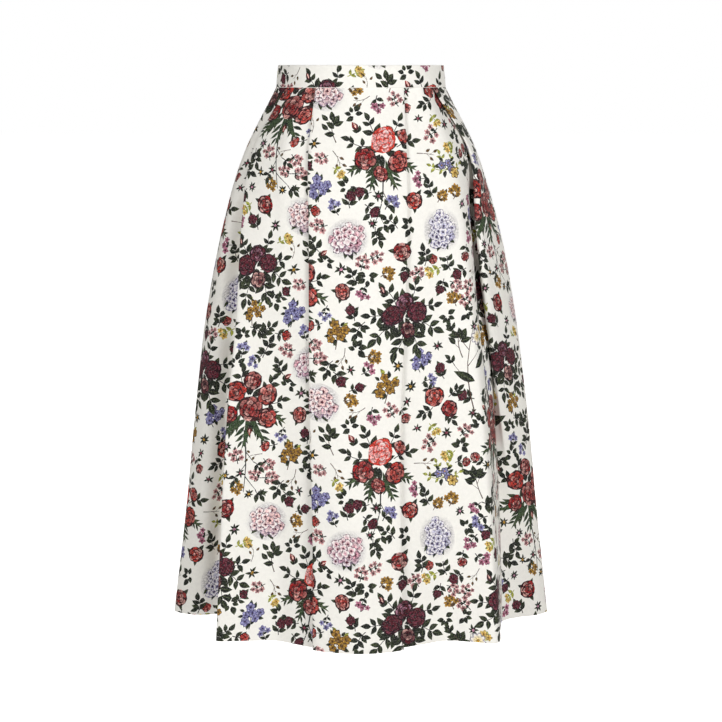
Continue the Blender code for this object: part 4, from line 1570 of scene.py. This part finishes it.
INKS = {
    "ground": ("Colour of the plain cloth", 245, 243, 237),
    "white": ("Lightest petals", 249, 245, 243),
    "halo": ("Soft shade round the round clusters", 176, 170, 180),
    "leaf": ("Dark leaves and stems", 21, 26, 22),
    "moss": ("Lights on the leaves", 86, 98, 62),
    "fern": ("Cut foliage under the bouquets", 52, 74, 46),
    "coral": ("Lighter red petals", 212, 62, 50),
    "red": ("Red petals", 176, 28, 30),
    "wine": ("Shadows in the red roses", 58, 10, 18),
    "pink": ("Lights on the red roses", 244, 192, 182),
    "blush": ("Palest pink petals", 240, 190, 188),
    "rose": ("Pink florets", 214, 138, 156),
    "burgundy": ("Dark roses", 104, 28, 42),
    "plum": ("Shadows in the dark roses", 48, 16, 30),
    "rosewood": ("Dull pink lines and eyes", 136, 58, 78),
    "mauve": ("Small mauve blossoms", 200, 140, 165),
    "violet": ("Violet lines and hearts", 84, 80, 142),
    "lilac": ("Lilac petals", 172, 170, 206),
    "gold": ("Ochre blossoms", 200, 152, 56),
    "butter": ("Pale yellow petals", 235, 210, 130),
    "umber": ("Dark lines of the ochre blossoms", 96, 66, 36),
    "chartreuse": ("Yellow-green sprigs", 168, 172, 70),
    "wood": ("Brown stems", 92, 66, 54),
}


class SkirtClothSettings(bpy.types.PropertyGroup):
    """The cloth's thickness, folds and threads."""

    wall: length("Cloth", "Thickness of the printed cloth", 0.0009, 0.003)
    band_wall: length("Waistband", "Thickness of the faced waistband", 0.0024, 0.004)
    hem_depth: length("Hem depth", "How far the hem is turned up inside", 0.022, 0.06)
    hem_turn: length("Hem turn", "Thickness that the turned hem adds inside", 0.0006, 0.002)
    mesh_step: length("Mesh step", "Widest step between columns of the mesh", 0.009, 0.03)
    thread: length("Thread pitch", "Distance from thread to thread", 0.00045, 0.002)
    crease: number("Folds", "Strength of the soft troughs and ridges", 1.0, min=0.0, max=2.0)
    engraving: number("Engraving", "How far the inks are broken into drawn lights and darks",
                      0.9, min=0.0, max=1.0, subtype="FACTOR")
    sheen: number("Sheen", "Soft sheen of the cloth", 0.08, min=0.0, max=1.0, subtype="FACTOR")


class SkirtPrintSettings(bpy.types.PropertyGroup):
    """The scale and inks of the print."""

    flower_size: number("Flower size", "Scale of the whole print", 1.0, min=0.4, max=3.0)
    __annotations__.update({
        name: colour(name.capitalize(), *shown) for name, shown in INKS.items()
    })


class SkirtSewingSettings(bpy.types.PropertyGroup):
    """Thread and stitches."""

    thread_radius: length("Thread radius", "Radius of the sewing thread", 0.00017, 0.001)
    stitch: length("Stitch", "Length of one stitch", 0.0024, 0.01)
    pitch: length("Pitch", "Distance from stitch to stitch", 0.0030, 0.02)
    hem_pitch: length("Hem pitch", "Distance between the blind stitches of the hem", 0.0075, 0.03)
    tack_drop: length("Tack drop", "Drop of the bar tacks that end the stitched pleats", 0.120, 0.4)
    tack_width: length("Tack width", "Width of a bar tack", 0.0050, 0.02)
    colour: colour("Thread", "Colour of the sewing thread", 238, 234, 226)


class SkirtZipSettings(bpy.types.PropertyGroup):
    """The concealed zip at the centre back."""

    length: length("Length", "Drop of the lower end of the zip", ZIP_END, 0.4)
    tape_width: length("Tape width", "How far each tape reaches from the middle", 0.012, 0.03)
    tape_wall: length("Tape", "Thickness of the tapes", 0.0006, 0.002)
    pitch: length("Coil pitch", "Distance between the loops of the coil", 0.00080, 0.003)
    loop_radius: length("Loop radius", "Radius of a loop of the coil", 0.00085, 0.003)
    wire_radius: length("Wire radius", "Radius of the coil's own thread", 0.00024, 0.001)
    tape: colour("Tape colour", "Colour of the tapes and coil", 232, 228, 218)
    metal: colour("Metal", "Colour of the slider and its pull", 205, 203, 198)


class SkirtStudioSettings(bpy.types.PropertyGroup):
    """Floor, lights and camera."""

    distance: length("Distance", "Distance of the camera from the waist", 3.0, 10.0)
    height: length("Height", "Height of the camera above the waist", 0.015, 3.0)
    tilt: number("Tilt", "How far the camera looks down", math.radians(8.032),
                 min=0.0, max=1.5, subtype="ANGLE")
    lens: number("Lens", "Focal length in millimetres", 104.41, min=20.0, max=300.0)
    floor_drop: length("Floor", "Depth of the floor below the waist", 1.05, 3.0)
    key: number("Right light", "Power of the large light at the right", 81.0,
                min=0.0, unit="POWER")
    fill: number("Left light", "Power of the large light at the left", 67.0,
                 min=0.0, unit="POWER")
    sky: number("Surround", "Strength of the white surround", 0.11, min=0.0, max=5.0)
    floor: colour("Floor colour", "Colour of the floor", 200, 199, 197)


# -------------------- one operator for each group of pieces

STORE = {}


def once(key, make):
    """What make returns, kept for the operators that follow."""
    if key not in STORE:
        STORE[key] = make()
    return STORE[key]


def cloth_piece(context, node, cut, wall, rests_on, **shape):
    """Makes one cloth piece in place of its solid and prints the size of its flat cut."""
    scene = context.scene
    cloth, ground = scene.skirt_cloth, tuple(scene.skirt_print.ground)
    palette = {name: np.array(getattr(scene.skirt_print, name)) for name in INKS}
    tile = once("tile", lambda: print_tile(palette))
    cloths = once("cloth", lambda: (printed_cloth(cloth, ground), wrong_side(cloth, ground)))
    inks = inks_on(cut, tile, scene.skirt_print.flower_size)
    piece = tailor(node + "_cloth", cut, inks, palette["ground"], wall, cloths, cloth, **shape)
    flat, area = cut.size
    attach(piece, "skirt")
    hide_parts(node)
    print(f"{piece.name}: {len(inks)} shapes, {len(piece.data.polygons)} triangles,"
          f" flat {flat[0]:.3f} x {flat[1]:.3f} m, {area:.4f} m2")


def panels(context, *names):
    settings = context.scene.skirt_cloth
    for name in names:
        cut = panel_cut(name, settings.crease)
        cloth_piece(context, name, cut, settings.wall, ["waistband_cloth"], hem=True)
    return {"FINISHED"}


class SKIRT_OT_waistband(bpy.types.Operator):
    """Make the waistband's cloth"""

    bl_idname = "skirt.waistband"
    bl_label = "Waistband"

    def execute(self, context):
        settings = context.scene.skirt_cloth
        cut = waistband_cut()
        swell = pleats_behind(cut, settings.crease)
        cloth_piece(context, "waistband", cut, settings.band_wall, [], swell=swell)
        return {"FINISHED"}


class SKIRT_OT_front(bpy.types.Operator):
    """Make the centre front and the two side fronts"""

    bl_idname = "skirt.front"
    bl_label = "Front panels"

    def execute(self, context):
        return panels(context, "front_centre", "front_side_r", "front_side_l")


class SKIRT_OT_sides(bpy.types.Operator):
    """Make the two side panels"""

    bl_idname = "skirt.sides"
    bl_label = "Side panels"

    def execute(self, context):
        return panels(context, "side_r", "side_l")


class SKIRT_OT_back(bpy.types.Operator):
    """Make the two back panels"""

    bl_idname = "skirt.back"
    bl_label = "Back panels"

    def execute(self, context):
        return panels(context, "back_r", "back_l")


ZIP_TOP_DROP = 0.0010
TAPE_DEPTH = 0.0018
TAPE_ROWS = 65
TAPE_COLUMNS = 9
COIL_TOP_DROP = 0.0131
COIL_DEPTH = 0.0041
COIL_PATH_POINTS = 60


def zip_place(x, drop, depth):
    """A point of the zip, at a depth inside the middle of the cloth at the centre back."""
    at_band = drop < BAND_HEIGHT
    half_width, half_depth = band_ellipse(drop / BAND_HEIGHT) if at_band else back_arc(drop)
    y = half_depth * math.sqrt(1 - (x / half_width) ** 2) - depth
    return np.array((x, y, 0.5 * BAND_HEIGHT - drop))


class SKIRT_OT_zip(bpy.types.Operator):
    """Make the zip's tapes and coil, and finish its slider and pull"""

    bl_idname = "skirt.zip"
    bl_label = "Zip"

    def execute(self, context):
        settings = context.scene.skirt_zip
        cloth = context.scene.skirt_cloth
        shade = tuple(settings.tape)
        tape = tape_material(shade, cloth)
        drops = np.linspace(ZIP_TOP_DROP, settings.length, TAPE_ROWS)
        across = np.linspace(0.5 * BACK_OPENING, settings.tape_width, TAPE_COLUMNS)
        for side, hand in ((-1, "r"), (1, "l")):
            places = side * across[::-side]
            cut = Cut([[zip_place(x, drop, TAPE_DEPTH) for x in places] for drop in drops], 0.5)
            name, wall = f"zip_tape_{hand}_cloth", settings.tape_wall
            piece = tailor(name, cut, [], np.array(shade), wall, (tape, tape), cloth)
            flat, area = cut.size
            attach(piece, "skirt")
            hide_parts("zip_tape_" + hand)
        drops = np.linspace(COIL_TOP_DROP, settings.length, COIL_PATH_POINTS)
        path = np.array([zip_place(0.0, drop, COIL_DEPTH) for drop in drops])
        coil = along_paths("zip_coil_loops", [path], coil_tree(), {
            "Pitch": settings.pitch, "Loop Radius": settings.loop_radius,
            "Wire Radius": settings.wire_radius, "Coil": coil_material(shade),
        })
        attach(coil, "skirt")
        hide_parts("zip_coil")
        metal = metal_material(tuple(settings.metal))
        for name in ("zip_slider", "zip_pull"):
            for place in bpy.data.objects[name].material_slots:
                place.material = metal
        return {"FINISHED"}


# Where the rows of stitches lie, from the edges that they follow
HEM_ROW_ENDS = 0.004
HEM_ROW_RISE = 0.001
HEM_ROW_POINTS = 120
HEM_LEAN = 0.5
TACK_START = 0.0002
TACK_ROWS = 5
TACK_ROW_STEP = 0.0005
TACK_PITCH = 0.0016
TACK_STITCH = 0.0018
ZIP_ROW_TOP = 0.003
ZIP_ROW_BOTTOM = 0.168
ZIP_ROW_ASIDE = 0.0085
ZIP_ROW_DEPTH = 0.0016


class SKIRT_OT_stitches(bpy.types.Operator):
    """Make the bar tacks of the pleats, the stitches of the hem, and those along the zip"""

    bl_idname = "skirt.stitches"
    bl_label = "Stitches"

    def execute(self, context):
        sewing = context.scene.skirt_sewing
        values = {
            "Stitch Length": sewing.stitch, "Pitch": sewing.pitch,
            "Thread Radius": sewing.thread_radius, "Thread": thread_material(tuple(sewing.colour)),
        }
        tree = stitch_tree()
        for name, paths, changed in self.rows(context.scene.skirt_cloth, sewing):
            row = along_paths(name, paths, tree, {**values, **changed})
            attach(row, "skirt")
        return {"FINISHED"}

    def rows(self, cloth, sewing):
        """Each group of stitches: its name, its paths and the tree's inputs that differ."""
        outer = 0.5 * cloth.wall + 0.5 * sewing.thread_radius
        hem = []
        for name in PANELS:
            cut = panel_cut(name, cloth.crease)
            start, end = cut.across[-1, 0] + HEM_ROW_ENDS, cut.across[-1, -1] - HEM_ROW_ENDS
            down = cut.down[-1] - cloth.hem_depth + HEM_ROW_RISE
            places, normals = cut.lay(np.linspace(start, end, HEM_ROW_POINTS) - 1j * down)
            inner = 0.5 * cloth.wall + cloth.hem_turn + 0.5 * sewing.thread_radius
            hem.append(places - inner * normals)
        yield "hem_stitches", hem, {"Pitch": sewing.hem_pitch, "Lean": HEM_LEAN}
        tacks = []
        centre = panel_cut("front_centre", cloth.crease)
        drop = sewing.tack_drop - BAND_HEIGHT
        for side in (-1, 1):
            edge = self.folded_edge(centre, drop, side)
            across = edge - side * np.linspace(TACK_START, sewing.tack_width, 4)
            for k in range(TACK_ROWS):
                places, normals = centre.lay(across - 1j * (drop + TACK_ROW_STEP * k))
                tacks.append(places + outer * normals)
        yield "pleat_tacks", tacks, {"Pitch": TACK_PITCH, "Stitch Length": TACK_STITCH}
        zip_rows = []
        for name, edge, inside in (("back_r", 0, 1), ("back_l", -1, -1)):
            cut = panel_cut(name, cloth.crease)
            rows = np.flatnonzero((cut.down > ZIP_ROW_TOP) & (cut.down < ZIP_ROW_BOTTOM))
            across = cut.across[rows, edge] + inside * ZIP_ROW_ASIDE
            places, normals = cut.lay(across - 1j * cut.down[rows])
            zip_rows.append(places - (0.5 * cloth.wall + ZIP_ROW_DEPTH) * normals)
        yield "zip_stitches", zip_rows, {}

    def folded_edge(self, cut, drop, side):
        """How far across a panel its folded edge lies at a drop below the seam."""
        row = int(np.argmin(np.abs(cut.down - drop)))
        return float(cut.across[row, int(np.argmax(side * cut.points[row, :, 0]))])


FLOOR_REACH = 30
# Where the lamps aim
SKIRT_MIDDLE = Vector((0, 0, -0.35))
SURROUND = (1, 0.93, 0.83, 1)


class SKIRT_OT_studio(bpy.types.Operator):
    """Set up the floor, the lights and the camera"""

    bl_idname = "skirt.studio"
    bl_label = "Studio"

    def execute(self, context):
        settings = context.scene.skirt_studio
        scene = context.scene
        floor = bpy.data.meshes.new("studio floor")
        corners = [
            (FLOOR_REACH * x, FLOOR_REACH * y, -settings.floor_drop)
            for x, y in ((-1, -1), (1, -1), (1, 1), (-1, 1))
        ]
        floor.from_pydata(corners, [], [(0, 1, 2, 3)])
        floor.materials.append(floor_material(tuple(settings.floor)))
        thing = linked("studio_floor", floor)
        for name, place, size, power in (
            ("right light", (2.2, -2.8, 0.8), 1.1, settings.key),
            ("left light", (-2.2, -2.8, 0.8), 1.1, settings.fill),
            ("back light", (0.6, 3.2, 1.4), 1.8, 1.25 * settings.key),
        ):
            data = bpy.data.lights.new(name, "AREA")
            data.size = size
            data.energy = power
            lamp = linked(name, data)
            lamp.location = place
            aim = SKIRT_MIDDLE - Vector(place)
            lamp.rotation_euler = aim.to_track_quat("-Z", "Y").to_euler()
        scene.world = self.surround(settings.sky)
        scene.view_settings.view_transform = "Standard"
        lens = bpy.data.cameras.new("camera")
        lens.lens = settings.lens
        camera = linked("camera", lens)
        camera.location = (0, -settings.distance, settings.height)
        camera.rotation_euler = (math.radians(90) - settings.tilt, 0, 0)
        scene.camera = camera
        return {"FINISHED"}

    def surround(self, strength):
        """A world that lights warmly and is white to the camera."""
        world = bpy.data.worlds.new("white surround")
        world.use_nodes = True
        nodes = Tree(world.node_tree)
        lit = nodes.tree.nodes["Background"]
        lit.inputs["Strength"].default_value = strength
        lit.inputs["Color"].default_value = SURROUND
        seen = nodes.out("ShaderNodeBackground", {"Color": (1, 1, 1, 1)})
        path = nodes.add("ShaderNodeLightPath").outputs["Is Camera Ray"]
        either = nodes.out("ShaderNodeMixShader", {0: path, 1: lit.outputs[0], 2: seen})
        nodes.feed(nodes.tree.nodes["World Output"].inputs["Surface"], either)
        return world


class SKIRT_PT_sidebar(bpy.types.Panel):
    """Lists the skirt's pieces and what can be changed on them"""

    bl_idname = "SKIRT_PT_sidebar"
    bl_label = "Printed skirt"
    bl_space_type = "VIEW_3D"
    bl_region_type = "UI"
    bl_category = "Skirt"

    def draw(self, context):
        for name, (_, operators) in GROUPS.items():
            box = self.layout.box()
            settings = getattr(context.scene, name)
            for key in settings.__annotations__:
                box.prop(settings, key)
            for operator in operators:
                box.operator(operator.bl_idname)


# Each group of settings, with the operators that use it
GROUPS = {
    "skirt_cloth": (
        SkirtClothSettings,
        (SKIRT_OT_waistband, SKIRT_OT_front, SKIRT_OT_sides, SKIRT_OT_back),
    ),
    "skirt_print": (SkirtPrintSettings, ()),
    "skirt_zip": (SkirtZipSettings, (SKIRT_OT_zip,)),
    "skirt_sewing": (SkirtSewingSettings, (SKIRT_OT_stitches,)),
    "skirt_studio": (SkirtStudioSettings, (SKIRT_OT_studio,)),
}
OPERATORS = [operator for _, operators in GROUPS.values() for operator in operators]
CLASSES = [*(settings for settings, _ in GROUPS.values()), *OPERATORS, SKIRT_PT_sidebar]


def register():
    for made in CLASSES:
        bpy.utils.register_class(made)
    for name, (settings, _) in GROUPS.items():
        setattr(bpy.types.Scene, name, PointerProperty(type=settings))


def unregister():
    for name in GROUPS:
        delattr(bpy.types.Scene, name)
    for made in reversed(CLASSES):
        bpy.utils.unregister_class(made)


def main():
    register()
    for operator in OPERATORS:
        group, name = operator.bl_idname.split(".")
        getattr(getattr(bpy.ops, group), name)()


if __name__ == "__main__":
    main()
